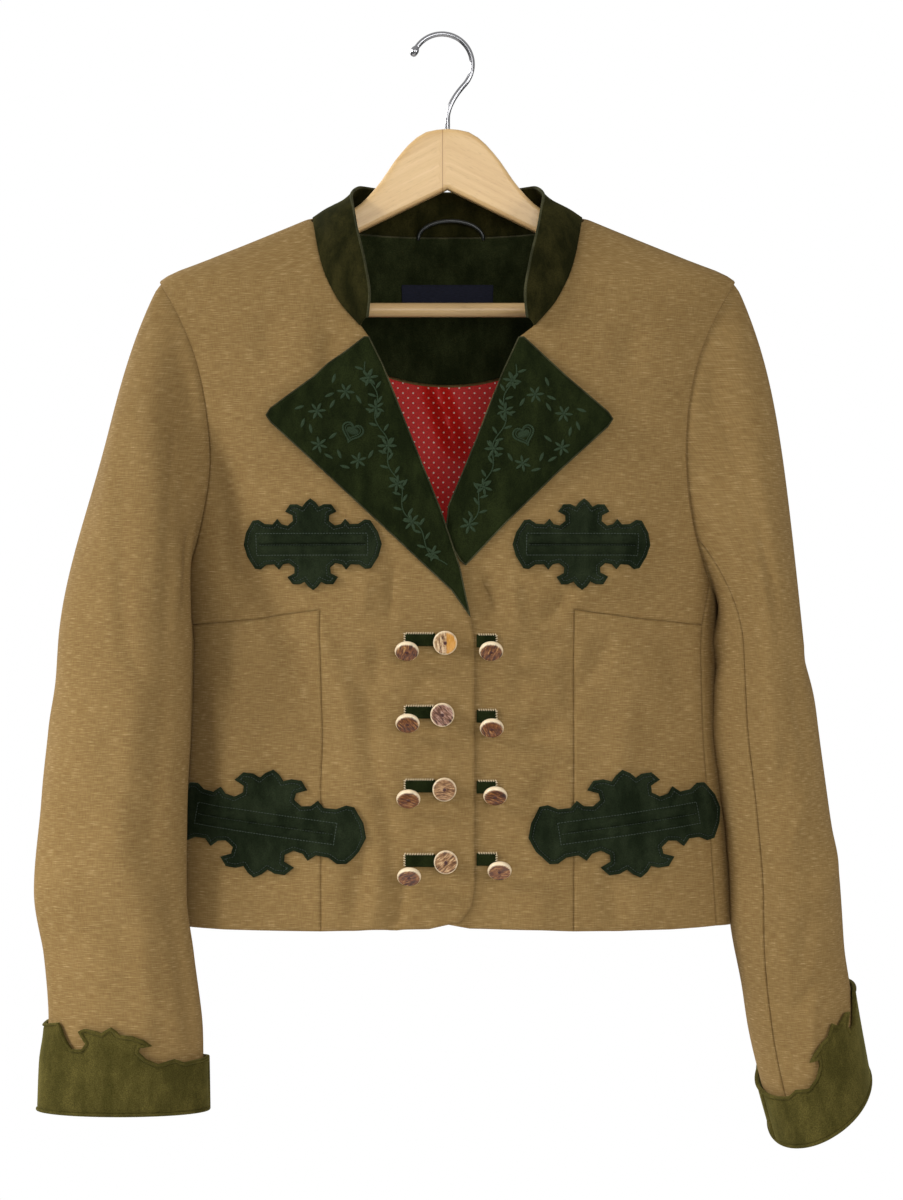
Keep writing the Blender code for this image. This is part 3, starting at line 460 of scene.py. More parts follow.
BUTTON_RADIUS = 8.5
BUTTON_THICK = 4.5
BUTTON_PROFILE = (
    # share of the radius, share of the thickness
    (0.6, 0),
    (0.86, 0.04),
    (0.95, 0.17),
    (1, 0.45),
    (0.99, 0.68),
    (0.95, 0.86),
    (0.88, 0.97),
    (0.8, 1.0),
    (0.7, 0.97),
    (0.5, 0.93),
    (0.25, 0.92),
    (0.14, 0.9),
    (0.1, 0.97),
    (0.05, 1.0),
)
BUTTON_SPIN = 2.4  # each one's streaks lie this many radians on from the last
BUTTON_DROPS = {
    "centre": (442, 493, 546, 597.5),
    "right": (446.5, 497.5, 551, 606),
    "left": (446.5, 501, 549, 602),
}
BUTTON_X = {"centre": (1.5, 3.5, 2, 1), "right": (28.5, 28, 27.5, 27), "left": (31, 31.5, 34, 37)}
BUTTON_TILT = {"centre": 6.0, "right": 42.0, "left": 42.0}  # degrees out of the upright
TAB_DROPS = {"right": (440, 491.5, 544, 597), "left": (441, 494.5, 545, 596.5)}
TAB_SPAN = {"right": (8.5, 30), "left": (20.8, 35)}
TAB_HIGH = 9.0
TAB_THICK = 1.2

# Hanger: half of the flat wooden outline, from the middle of the top round to the middle underneath.
HANGER_HALF = (
    # x, drop
    (0, 68),
    (12, 69.2),
    (21.5, 73.7),
    (35.4, 87.6),
    (52.2, 111),
    (68, 126.2),
    (100, 139.5),
    (150, 160.5),
    (190, 177.5),
    (198, 183),
    (200, 190),
    (199, 205),
    (194, 210),
    (185, 210),
    (180, 205),
    (176, 194.5),
    (168, 187.5),
    (66, 144),
    (0, 112),
)
HANGER_THICK = 12.0
BAR_RADIUS = 5.25
BAR_DROP = 200.0
BAR_HALF = 188.0
WIRE = 1.9
HOOK_RADIUS = 22.2
STEM_X = 4.0
STEM_IN_WOOD = 18.0
HOOK_FROM, HOOK_TO = 158, -42  # degrees of the hook's arc
HOOK_EASE = 27.0  # how gently the arc turns into the straight stem
STEM_TOP = 60.0
KNOB_HIGH, KNOB_AT, KNOB_HALF = 1.1, 1.6, 2.6  # the thicker tip of the wire
JOINT_X = 0.5
GRAIN_LEAN = 27.0  # degrees
GRAIN_APART = 400
WOOD_ROUNDING = 3.0
WOOD_RINGS = (0.12, 0.5, 1.0, 1.7, 2.4, 3.0)

# The stage, in metres.
FLOOR_HALF, FLOOR_Z = 1.5, -1.5
AMBIENT = 0.8
LIGHTS = (
    # name, place, size, energy, target, spread
    ("key", (-2.5, -1.0, 0.9), (0.6, 0.6), 60.0, (0.0, 0.0, -0.4), 180.0),
    ("left side", (-1.05, -0.8, -0.6), (0.25, 0.4), 0.5, (-0.29, 0.0, -0.62), 45.0),
    ("right side", (1.3, -1.1, -0.3), (0.6, 0.6), 8.5, (0.25, 0.0, -0.45), 180.0),
    ("back", (-1.9, 1.5, 0.7), (0.8, 0.8), 42.0, (0.0, 0.0, -0.4), 180.0),
    ("fill", (0.35, -2.7, 0.0), (1.2, 1.2), 22.0, (0.0, 0.0, -0.4), 180.0),
)
CAMERA_AT = (0.007, -1.95, -0.412)
LENS, SENSOR = 80.0, 36.0


# Curves and outlines


def smooth(places, values, at):
    """A smooth curve through (places, values) that never overshoots: cubic pieces whose slope at each
    place is the harmonic mean of the slopes beside it, or level at a peak."""
    places, values, at = (np.asarray(part, float) for part in (places, values, at))
    widths = np.diff(places)
    slopes = np.diff(values) / widths
    product = slopes[:-1] * slopes[1:]
    total = slopes[:-1] + slopes[1:]
    inner = np.where(product > 0, 2 * product / np.where(total == 0, 1, total), 0.0)
    tangents = np.concatenate([slopes[:1], inner, slopes[-1:]])
    i = np.clip(np.searchsorted(places, at) - 1, 0, len(widths) - 1)
    t = np.clip((at - places[i]) / widths[i], 0, 1)
    rise = values[i + 1] - values[i]
    left = tangents[i] * widths[i]
    right = tangents[i + 1] * widths[i]
    return values[i] + t * (left + t * (3 * rise - 2 * left - right + t * (left + right - 2 * rise)))


def fade(value, start, end):
    """0 before start, 1 after end, and an even S between them."""
    t = np.clip((np.asarray(value, float) - start) / (end - start), 0, 1)
    return t * t * (3 - 2 * t)


def lengths(points):
    """The distance along a line at each of its points."""
    return np.concatenate([[0], np.cumsum(np.linalg.norm(np.diff(points, axis=0), axis=1))])


def through(points, count):
    """Points on a rounded line through the given ones, evenly spaced along it."""
    points = np.asarray(points, float)
    at = lengths(points)
    wanted = np.linspace(0, at[-1], count)
    return np.stack([smooth(at, points[:, k], wanted) for k in range(points.shape[1])], axis=1)


def straight(points, step):
    """The same corners, with points between them no further apart than step."""
    points = np.asarray(points, float)
    out = [points[:1]]
    for a, b in zip(points[:-1], points[1:]):
        count = max(1, math.ceil(np.linalg.norm(b - a) / step))
        out.append(a + (b - a) * np.linspace(0, 1, count + 1)[1:, None])
    return np.concatenate(out)


def turned_pair(a, b, angle):
    """Two coordinates turned by an angle: a cos - b sin and a sin + b cos."""
    return a * math.cos(angle) - b * math.sin(angle), a * math.sin(angle) + b * math.cos(angle)


def hermite(t, start, leave, end, arrive):
    """The cubic from start to end that leaves and arrives with the given directions."""
    return (
        (1 + t * t * (2 * t - 3)) * start
        + t * (1 - t) ** 2 * leave
        + t * t * (3 - 2 * t) * end
        + t * t * (t - 1) * arrive
    )


def fold_height(x, y, folds):
    """The sum of soft ridges and troughs. Each is a line with a bell-shaped height across it,
    e^-(away/half)^2, that fades in and out along it."""
    total = np.zeros(np.broadcast(x, y).shape)
    for ax, ay, bx, by, height, half in folds:
        length = math.hypot(bx - ax, by - ay)
        along = ((x - ax) * (bx - ax) + (y - ay) * (by - ay)) / length**2
        away = ((x - ax) * (by - ay) - (y - ay) * (bx - ax)) / length
        near = np.exp(-((away / half) ** 2)) * fade(along, -0.15, 0.3) * (1 - fade(along, 0.7, 1.15))
        total = total + height * near
    return total


# The body's form


def level(drop):
    """Half width, front depth and back depth of the body at each drop."""
    rows = np.array(BODY, float)
    return [smooth(rows[:, 0], rows[:, k], drop) for k in (1, 2, 3)]


def oval(angle, half, front, back, sink=0.0):
    """x = half width * sin(p)^(2/n) and y = -depth * cos(p)^(2/n), the signs kept, with p the angle."""
    s, c = np.sin(angle), np.cos(angle)
    depth = np.where(c > 0, front, back) - sink
    x = half * np.sign(s) * np.abs(s) ** (2 / OVAL)
    return x, -depth * np.sign(c) * np.abs(c) ** (2 / OVAL)


TURNS = np.linspace(-math.pi, 3 * math.pi, 3201)
RING = np.stack(oval(TURNS, *level(400.0)), axis=1)
ROUNDS = lengths(RING) - np.interp(0.0, TURNS, lengths(RING))  # from the centre front, at drop 400
BACK_ROUND = float(np.interp(math.pi, TURNS, ROUNDS))


def angle_of(round_mm):
    """The oval's angle at a length of cloth from the centre front."""
    return np.interp(round_mm, ROUNDS, TURNS)


def round_of(degrees):
    """The length of cloth from the centre front to an angle."""
    return np.interp(np.radians(degrees), TURNS, ROUNDS)


def body(round_mm, drop, sink=0.0):
    """Points of the body's outer form, by the length of cloth round it and the drop. The folds stand out
    along the oval's own normal, (x / half width^2, y / depth^2)."""
    drop = np.asarray(drop, float)
    half, front, back = level(drop)
    angle = angle_of(round_mm)
    x, y = oval(angle, half, front, back, sink)
    depth = np.where(np.cos(angle) > 0, front, back)
    out = np.stack([x / half**2, y / depth**2, 0 * x], axis=-1)
    out /= np.linalg.norm(out, axis=-1, keepdims=True)
    points = np.stack([x, y, -drop * np.ones_like(x)], axis=-1)
    past_side = round_mm < -round_of(91.0)
    around = np.where(past_side, round_mm + 2 * BACK_ROUND, round_mm)
    return points + out * fold_height(around, drop, BODY_FOLDS)[..., None]


def left_front(round_mm, drop):
    """The left front's form, which sinks behind the right one near the centre."""
    x = body(round_mm, drop)[..., 0]
    return body(round_mm, drop, UNDERLAP * (1 - fade(x, *UNDERLAP_X)) * fade(drop, *UNDERLAP_DROP))


def on_front(points):
    """Round and drop of front points given by x and drop."""
    points = np.asarray(points, float)
    half = level(points[..., 1])[0]
    angle = np.arcsin(np.clip(np.abs(points[..., 0]) / half, 0, 1) ** (OVAL / 2)) * np.sign(points[..., 0])
    return np.stack([np.interp(angle, TURNS, ROUNDS), points[..., 1]], axis=-1)


def on_back(points):
    """The same for points on the back, where x past 0 lies beyond the centre."""
    flat = on_front(points)
    flat[..., 0] = BACK_ROUND - flat[..., 0]
    return flat


def seam_line(rows, drops):
    """An upright seam: its drop and its angle by drop."""
    rows = np.array(rows, float)
    return np.stack([round_of(smooth(rows[:, 0], rows[:, 1], drops)), drops], axis=1)


def shoulder_seam():
    """The shoulder seam, from the armhole up to the neck."""
    return seam_line(SHOULDER_SEAM, np.linspace(172, 140, 7))


def armhole(turn):
    """The armhole by degrees from the shoulder (90 is the front, 180 the underarm)."""
    turn = np.radians(np.asarray(turn, float))
    round_mm = round_of(90.0 - ARMHOLE_SPREAD * np.sin(turn))
    return np.stack([round_mm, ARMHOLE_DROP - ARMHOLE_HALF * np.cos(turn)], axis=1)


def armhole_turn_at(angle):
    """Degrees from the shoulder, on the lower front of the armhole, where it is at this body angle."""
    return 180.0 - math.degrees(math.asin((90.0 - angle) / ARMHOLE_SPREAD))


def mirrored(outline):
    """The same outline on the wearer's right."""
    return np.asarray(outline, float)[::-1] * (-1, 1)


def other_side(outline):
    """The left half of a back outline, mirrored across the centre back and reversed."""
    outline = np.asarray(outline, float)[::-1]
    return np.stack([2 * BACK_ROUND - outline[:, 0], outline[:, 1]], axis=1)


# The sleeves' form


def sleeve_form(name):
    """The function that gives one sleeve's outer form from degrees round it and rows down its table."""
    side = -1 if name == "right" else 1
    rows = np.array(SLEEVES[name], float)
    index = np.arange(len(rows))

    def section(turn, row):
        """An ellipse round the section's centre, tilted by its roll and pitch."""
        drop, cx, cy, half, deep, roll, pitch = (smooth(index, rows[:, k], row) for k in range(7))
        angle = np.radians(turn - SLEEVE_TURN[name])
        across, along = half * np.cos(angle), -deep * np.sin(angle)
        return np.stack([cx + across, cy + along, -drop + roll * across + pitch * along], axis=-1)

    def form(turn, row):
        """Row 0 is the armhole and row 1 the first section: between them each point follows a Hermite
        curve that leaves the armhole outwards. Below, the sections blend smoothly."""
        turn, row = np.broadcast_arrays(np.asarray(turn, float), np.asarray(row, float))
        ring = body(*(armhole(turn.ravel()) * (side, 1)).T).reshape(*turn.shape, 3) * (side, 1, 1)
        first = section(turn, np.zeros_like(turn))
        second = section(turn, np.full_like(turn, 0.5))
        t = np.clip(row, 0, 1)[..., None]
        bulge = UNDERARM_BULGE + HEAD_BULGE * (1 + np.cos(np.radians(turn))) / 2
        forward = BULGE_FORWARD * bulge * np.sin(np.radians(turn))
        out = np.stack([BULGE_OUT * bulge, -forward, 0 * bulge], axis=-1)
        gap = np.linalg.norm(first - ring, axis=-1, keepdims=True)
        leave = HEAD_STRAIGHT * (first - ring) + out
        arrive = (second - first) / np.linalg.norm(second - first, axis=-1, keepdims=True) * gap
        head = hermite(t, ring, leave, first, arrive)
        below = section(turn, np.maximum(row - 1, 0))
        points = np.where(row[..., None] < 1, head, below)
        points[..., 0] *= side
        return points

    def creased(turn, row):
        """The form with its creases: each is a line across degrees and rows, with a rounded height."""
        turn, row = np.broadcast_arrays(np.asarray(turn, float), np.asarray(row, float))
        points = form(turn, row)
        out = normals(form, turn, row, 0.5, 0.01) * OUTWARD[name]
        size = np.array([TURN_MM, ROW_MM, TURN_MM, ROW_MM, 1.0, 1.0])
        folds = np.array(SLEEVE_CREASES[name] + SLEEVE_WRINKLES[name]) * size
        height = fold_height(turn * TURN_MM, row * ROW_MM, folds) * fade(row, 0.0, 0.12)
        return points + out * height[..., None]

    return creased


def normals(form, u, v, du=1.0, dv=1.0):
    """Unit normals of a form, from the cross product of its two central differences. They point out of
    the body and of the right sleeve, and into the left sleeve, whose degrees run the other way."""
    across = form(u + du, v) - form(u - du, v)
    down = form(u, v + dv) - form(u, v - dv)
    normal = np.cross(down, across)
    return normal / np.maximum(np.linalg.norm(normal, axis=-1, keepdims=True), 1e-9)


# Materials


def node(tree, kind, values=(), **settings):
    """A shader node with its settings, and with values or other nodes' outputs in its named inputs."""
    made = tree.nodes.new(f"ShaderNode{kind}")
    for name, value in settings.items():
        setattr(made, name, value)
    for name, value in dict(values).items():
        if isinstance(value, bpy.types.NodeSocket):
            tree.links.new(value, made.inputs[name])
        else:
            made.inputs[name].default_value = value
    return made.outputs[0]


def ramp(tree, factor, *stops):
    """A colour ramp through stops of (place, colour)."""
    made = tree.nodes.new("ShaderNodeValToRGB")
    elements = made.color_ramp.elements
    for number, (place, colour) in enumerate(stops):
        element = elements[number] if number < 2 else elements.new(place)
        element.position = place
        element.color = (*colour, 1.0)
    tree.links.new(factor, made.inputs["Fac"])
    return made.outputs["Color"]


def blend(tree, factor, a, b, how="MIX"):
    """Two colours mixed, multiplied or overlaid."""
    made = tree.nodes.new("ShaderNodeMix")
    made.data_type = "RGBA"
    made.blend_type = how
    for place, value in ((0, factor), (6, a), (7, b)):
        if isinstance(value, bpy.types.NodeSocket):
            tree.links.new(value, made.inputs[place])
        else:
            made.inputs[place].default_value = value
    return made.outputs[2]


def noise(tree, place, scale, detail=2.0, roughness=0.5):
    """Noise with its own scale along each axis, in waves to the metre."""
    stretched = node(tree, "Mapping", {"Vector": place, "Scale": scale})
    values = {"Vector": stretched, "Scale": 1.0, "Detail": detail, "Roughness": roughness}
    return node(tree, "TexNoise", values)


def sums(tree, operation, a, b=0.0, c=0.0):
    """A sum, product or other math step of numbers and outputs."""
    made = tree.nodes.new("ShaderNodeMath")
    made.operation = operation
    for socket, value in zip(made.inputs, (a, b, c)):
        if isinstance(value, bpy.types.NodeSocket):
            tree.links.new(value, socket)
        else:
            socket.default_value = value
    return made.outputs[0]


def axes_of(tree, place):
    """The x, y and z of a place."""
    return node(tree, "SeparateXYZ", {"Vector": place}).node.outputs


def reach_of(tree, x, y):
    """sqrt(x^2 + y^2)."""
    return sums(tree, "SQRT", sums(tree, "ADD", sums(tree, "MULTIPLY", x, x), sums(tree, "MULTIPLY", y, y)))


def shaded(tree, factor, colour, shade, *stops):
    """A colour multiplied by a ramp of a noise."""
    return blend(tree, factor, colour, ramp(tree, shade, *stops), "MULTIPLY")


def new_material(name, colour, roughness, specular=0.5, metallic=0.0, sheen=0.0, sheen_tint=None, coat=0.0):
    """A Principled material with the values that are even all over. Returns it with its tree and shader."""
    made = bpy.data.materials.new(name)
    made.use_nodes = True
    shader = made.node_tree.nodes["Principled BSDF"]
    shader.inputs["Base Color"].default_value = (*colour, 1.0)
    shader.inputs["Roughness"].default_value = roughness
    shader.inputs["Specular IOR Level"].default_value = specular
    shader.inputs["Metallic"].default_value = metallic
    shader.inputs["Sheen Weight"].default_value = sheen
    shader.inputs["Sheen Roughness"].default_value = 0.4
    shader.inputs["Sheen Tint"].default_value = (*(sheen_tint or colour), 1.0)
    shader.inputs["Coat Weight"].default_value = coat
    shader.inputs["Coat Roughness"].default_value = 0.12
    return made, made.node_tree, shader


def finish_with(tree, shader, colour=None, height=None, distance=0.0003, strength=0.6):
    """Joins a colour and a bump height to the shader."""
    if colour:
        tree.links.new(colour, shader.inputs["Base Color"])
    if height:
        bump = node(tree, "Bump", {"Height": height, "Distance": distance, "Strength": strength})
        tree.links.new(bump, shader.inputs["Normal"])


def linen():
    """Canvas: short pale slubs along the weft on an even ground, a finer warp and faint mottling."""
    made, tree, shader = new_material("linen canvas", (0.2, 0.13, 0.05), 0.92, 0.12)
    cloth = node(tree, "UVMap", uv_map="cloth")
    slubs = noise(tree, cloth, (120, 1500, 1), 3, 0.55)
    warp = noise(tree, cloth, (1500, 150, 1), 2)
    patches = noise(tree, cloth, (20, 26, 1), 2)
    stops = (
        (0.3, (0.17, 0.101, 0.034)),
        (0.52, (0.205, 0.13, 0.048)),
        (0.62, (0.25, 0.166, 0.068)),
        (0.74, (0.34, 0.245, 0.12)),
    )
    colour = ramp(tree, slubs, *stops)
    colour = shaded(tree, 0.5, colour, warp, (0.3, (0.78, 0.76, 0.72)), (0.7, (1.18, 1.18, 1.18)))
    colour = shaded(tree, 1.0, colour, patches, (0.3, (0.95, 0.94, 0.92)), (0.7, (1.04, 1.04, 1.04)))
    height = sums(tree, "MULTIPLY_ADD", warp, 0.6, slubs)
    finish_with(tree, shader, colour, height, 0.0004, 0.6)
    return made


def velvet(name, dark, light, tint, sheen):
    """Short pile, lighter in random patches: pile laid another way, with a painted sheen where it catches the
    light.
    """
    made, tree, shader = new_material(name, dark, 1.0, 0.03, sheen=sheen, sheen_tint=tint)
    place = tree.nodes.new("ShaderNodeTexCoord").outputs["Object"]
    # Random patches of pile, painted lighter as the sheen they catch.
    sheen_patches = noise(tree, place, (70, 70, 34), 3, 0.65)
    pile = noise(tree, place, (1300, 1300, 1300), 2)
    colour = ramp(tree, sheen_patches, (0.38, dark), (0.66, light))
    colour = shaded(tree, 0.6, colour, pile, (0.35, (0.55, 0.55, 0.55)), (0.65, (1.4, 1.4, 1.4)))
    finish_with(tree, shader, colour, pile, 0.0003, 0.5)
    return made


def dotted_lining():
    """Red lining with pin dots in rows, each row half a step on from the last."""
    made, tree, shader = new_material("dotted lining", (0.6, 0.012, 0.008), 0.55, 0.25)
    cloth = node(tree, "UVMap", uv_map="cloth")
    across, down, _ = axes_of(tree, cloth)
    row = sums(tree, "DIVIDE", down, DOT_ROWS * MM)
    half_step = sums(tree, "MULTIPLY", sums(tree, "FLOOR", row), 0.5)
    column = sums(tree, "ADD", sums(tree, "DIVIDE", across, DOT_STEP * MM), half_step)
    x = sums(tree, "MULTIPLY", sums(tree, "SUBTRACT", sums(tree, "FRACT", column), 0.5), DOT_STEP)
    y = sums(tree, "MULTIPLY", sums(tree, "SUBTRACT", sums(tree, "FRACT", row), 0.5), DOT_ROWS)
    dot = sums(tree, "LESS_THAN", reach_of(tree, x, y), DOT_RADIUS)
    weave = noise(tree, cloth, (900, 900, 1), 2)
    red = ramp(tree, weave, (0.35, (0.5, 0.007, 0.004)), (0.65, (0.68, 0.014, 0.008)))
    finish_with(tree, shader, blend(tree, dot, red, (0.75, 0.62, 0.52, 1)), weave, 0.0001, 0.4)
    return made


def horn():
    """Polished horn: streaks of brown and amber on the face, a cream rim and a dark middle. Each button's
    place attribute holds its own x and y in mm and a number of its own."""
    made, tree, shader = new_material("horn", (0.3, 0.2, 0.11), 0.35, 0.3, coat=0.2)
    place = tree.nodes.new("ShaderNodeAttribute")
    place.attribute_name = "place"
    x, y, own = axes_of(tree, place.outputs["Vector"])
    away = reach_of(tree, x, y)
    streaks = noise(tree, place.outputs["Vector"], (0.95, 0.17, 3.7), 5, 0.7)
    stops = (
        (0.36, (0.018, 0.005, 0.003)),
        (0.48, (0.1, 0.028, 0.007)),
        (0.57, (0.22, 0.075, 0.016)),
        (0.68, (0.5, 0.29, 0.1)),
    )
    face = ramp(tree, streaks, *stops)
    stops = ((0.38, (0.05, 0.016, 0.008)), (0.5, (0.32, 0.18, 0.08)), (0.62, (0.66, 0.5, 0.3)))
    first_four = sums(tree, "MULTIPLY", sums(tree, "LESS_THAN", own, 4.5), 0.5)
    pale = sums(tree, "MULTIPLY_ADD", sums(tree, "LESS_THAN", own, 2.5), 0.5, first_four)
    face = blend(tree, pale, face, ramp(tree, streaks, *stops))
    amber = sums(tree, "MULTIPLY", sums(tree, "LESS_THAN", own, 1.5), sums(tree, "GREATER_THAN", x, 1.0))
    face = blend(tree, sums(tree, "MULTIPLY", amber, 0.8), face, (0.5, 0.22, 0.02, 1))
    grey = sums(tree, "LESS_THAN", sums(tree, "ABSOLUTE", sums(tree, "SUBTRACT", own, 2.0)), 0.5)
    face = blend(tree, grey, face, blend(tree, 1.0, face, (0.6, 0.5, 0.66, 1), "MULTIPLY"))
    edge = sums(tree, "MULTIPLY_ADD", streaks, 1.6, away)
    rim = ramp(tree, sums(tree, "MULTIPLY_ADD", edge, 0.5, -4.05), (0.0, (0, 0, 0)), (0.45, (1, 1, 1)))
    face = blend(tree, rim, face, (0.74, 0.6, 0.4, 1))
    middle = ramp(tree, sums(tree, "MULTIPLY", away, 0.5), (0.55, (1, 1, 1)), (0.7, (0, 0, 0)))
    face = blend(tree, middle, face, (0.045, 0.008, 0.005, 1))
    finish_with(tree, shader, face, streaks, 0.0002, 0.3)
    return made


def beech(name, jointed):
    """Lacquered beech: fine grain along each arm, short darker flecks, and the glued joint in the middle."""
    made, tree, shader = new_material(name, (0.5, 0.34, 0.17), 0.38, 0.4, coat=0.25)
    place = tree.nodes.new("ShaderNodeTexCoord").outputs["Object"]
    wood = node(tree, "UVMap", uv_map="cloth") if jointed else place
    grain = noise(tree, wood, (7, 190, 190), 4, 0.6)
    flecks = noise(tree, wood, (160, 1500, 1500), 2)
    stops = ((0.3, (0.53, 0.33, 0.135)), (0.55, (0.61, 0.405, 0.18)), (0.75, (0.67, 0.46, 0.225)))
    colour = ramp(tree, grain, *stops)
    colour = shaded(tree, 0.4, colour, flecks, (0.28, (0.6, 0.53, 0.45)), (0.42, (1, 1, 1)))
    if jointed:
        joint = sums(tree, "ABSOLUTE", sums(tree, "SUBTRACT", axes_of(tree, place)[0], JOINT_X * MM))
        joint = sums(tree, "MULTIPLY", joint, 1 / MM)
        colour = shaded(tree, 1.0, colour, joint, (0.2, (0.6, 0.5, 0.42)), (0.45, (1, 1, 1)))
    finish_with(tree, shader, colour, grain, 0.0001, 0.3)
    return made


def thread(name, dark, light):
    """Satin stitches: fine strands that run across each stitched shape."""
    made, tree, shader = new_material(name, dark, 0.7, 0.15)
    place = node(tree, "UVMap", uv_map="cloth")
    strands = noise(tree, place, (2200, 160, 1), 1)
    finish_with(tree, shader, ramp(tree, strands, (0.35, dark), (0.65, light)), strands, 0.0002, 0.6)
    return made


def woven_label():
    """Bare navy satin weave, its threads along the label."""
    made, tree, shader = new_material("label", (0.006, 0.008, 0.018), 0.6, 0.15)
    place = node(tree, "UVMap", uv_map="cloth")
    threads = noise(tree, place, (300, 2400, 1), 2)
    colour = ramp(tree, threads, (0.3, (0.004, 0.005, 0.012)), (0.7, (0.01, 0.012, 0.026)))
    finish_with(tree, shader, colour, threads)
    return made


GREEN, OLIVE, BLUE_GREEN = (0.3, 0.38, 0.15), (0.4, 0.38, 0.15), (0.3, 0.42, 0.3)  # tints of the sheen
PALE_OLIVE, WARM_OLIVE = (0.5, 0.5, 0.35), (0.6, 0.55, 0.2)
VELVETS = {
    # name, dark, light, tint, sheen
    "velvet": ("dark green velvet", (0.0065, 0.0095, 0.0028), (0.014, 0.019, 0.0055), GREEN, 0.1),
    "collar": ("olive green velvet", (0.009, 0.0092, 0.0024), (0.024, 0.0215, 0.006), OLIVE, 0.12),
    # The facing is the fronts' green velvet painted lighter, painted light to make up for the shade it lies
    # in inside the jacket.
    "facing": ("green velvet painted lighter against the shade inside", (0.011, 0.0145, 0.0048), (0.024, 0.029, 0.0102), GREEN, 0.1),
    # The rolls along the lapels, collar and facing are velvet painted lighter: a painted highlight where the
    # folded pile catches the light.
    "highlit_edge_velvet": ("velvet edge painted lighter as a highlight", (0.024, 0.025, 0.012), (0.055, 0.053, 0.026), PALE_OLIVE, 0.15),
    "cuff_velvet": ("olive velvet", (0.044, 0.037, 0.0085), (0.076, 0.062, 0.0155), WARM_OLIVE, 0.2),
    "applique": ("blue-green velvet", (0.0068, 0.0105, 0.0045), (0.016, 0.022, 0.0105), BLUE_GREEN, 0.12),
}
MATERIALS = {
    "linen": linen(),
    **{key: velvet(*row) for key, row in VELVETS.items()},
    "lining": dotted_lining(),
    "label": woven_label(),
    "horn": horn(),
    "beech": beech("beech", True),
    "beech_bar": beech("beech bar", False),
    "steel": new_material("chromed wire", (0.33, 0.33, 0.34), 0.2, metallic=1.0)[0],
    "satin": new_material("black satin", (0.008, 0.01, 0.008), 0.3)[0],
    "green_thread": thread("green thread", (0.011, 0.022, 0.009), (0.024, 0.042, 0.018)),
    "grey_thread": thread("grey-green thread", (0.026, 0.036, 0.027), (0.055, 0.07, 0.054)),
    "beige_thread": thread("beige thread", (0.42, 0.33, 0.2), (0.62, 0.52, 0.35)),
}


# Meshes


def add_object(name, points, faces, finish, nodes=(), uv=None, shift=BODY_X, bevel=0.0, place=None):
    """An object from points in mm that stands for CAD nodes, with its cloth lengths as a UV map in metres."""
    mesh = bpy.data.meshes.new(name)
    placed = (np.asarray(points, float) + (shift, 0, 0)) * MM
    mesh.from_pydata(placed.tolist(), [], faces)
    if uv is not None:
        layer = mesh.uv_layers.new(name="cloth")
        corners = np.empty(len(mesh.loops), np.int32)
        mesh.loops.foreach_get("vertex_index", corners)
        layer.data.foreach_set("uv", (np.asarray(uv, float) * MM)[corners].astype(np.float32).ravel())
    if place is not None:
        kept = mesh.attributes.new("place", "FLOAT_VECTOR", "POINT")
        kept.data.foreach_set("vector", np.asarray(place, np.float32).ravel())
    mesh.materials.append(MATERIALS[finish])
    mesh.shade_smooth()
    mesh.set_sharp_from_angle(angle=math.radians(50))
    obj = bpy.data.objects.new(name, mesh)
    bpy.context.collection.objects.link(obj)
    if bevel:
        rounding = obj.modifiers.new("rounded edge", "BEVEL")
        rounding.width = bevel * MM
        rounding.segments = 2
        rounding.limit_method = "ANGLE"
        rounding.angle_limit = math.radians(50)
    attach(obj, "root")
    if nodes:
        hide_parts(*nodes)
    return obj


def ring_faces(rows, columns):
    """The quads between closed rings of points, and the fans that close the first and the last ring. The
    fans' own two points are numbered after the rings' points."""
    index = np.arange(rows * columns).reshape(rows, columns)
    after = np.roll(index, -1, axis=1)
    quads = np.stack([index[:-1], after[:-1], after[1:], index[1:]], axis=-1).reshape(-1, 4)
    first = np.stack([np.full(columns, index.size), after[0], index[0]], axis=1)
    last = np.stack([np.full(columns, index.size + 1), index[-1], after[-1]], axis=1)
    return quads, np.concatenate([first, last])


def inset(outline, gap):
    """The outline moved inwards by a distance, at most twice as far at a sharp corner."""
    before = outline - np.roll(outline, 1, axis=0)
    after = np.roll(outline, -1, axis=0) - outline

    def beside(edge):
        """Unit vectors square to each edge."""
        edge = edge / np.maximum(np.linalg.norm(edge, axis=1, keepdims=True), 1e-9)
        return np.stack([-edge[:, 1], edge[:, 0]], axis=1)

    first = beside(before)
    inward = first + beside(after)
    inward = inward / np.maximum((inward * first).sum(axis=1, keepdims=True), 0.5)
    x, y = outline.T
    area = np.sum(x * np.roll(y, -1) - y * np.roll(x, -1))
    return outline + inward * gap * math.copysign(1.0, area)


def outline_distance(points, outline):
    """For each point its distance to the outline, and whether it is inside."""
    found = np.zeros(len(points), bool)
    nearest = np.full(len(points), 1e9)
    for a, b in zip(outline, np.roll(outline, -1, axis=0)):
        rising = (a[1] > points[:, 1]) != (b[1] > points[:, 1])
        rise = b[1] - a[1] if b[1] != a[1] else 1e-12
        found ^= rising & (points[:, 0] < a[0] + (points[:, 1] - a[1]) * (b[0] - a[0]) / rise)
        edge = b - a
        t = np.clip(((points - a) @ edge) / max(edge @ edge, 1e-12), 0, 1)
        nearest = np.minimum(nearest, np.linalg.norm(points - a - t[:, None] * edge, axis=1))
    return nearest, found


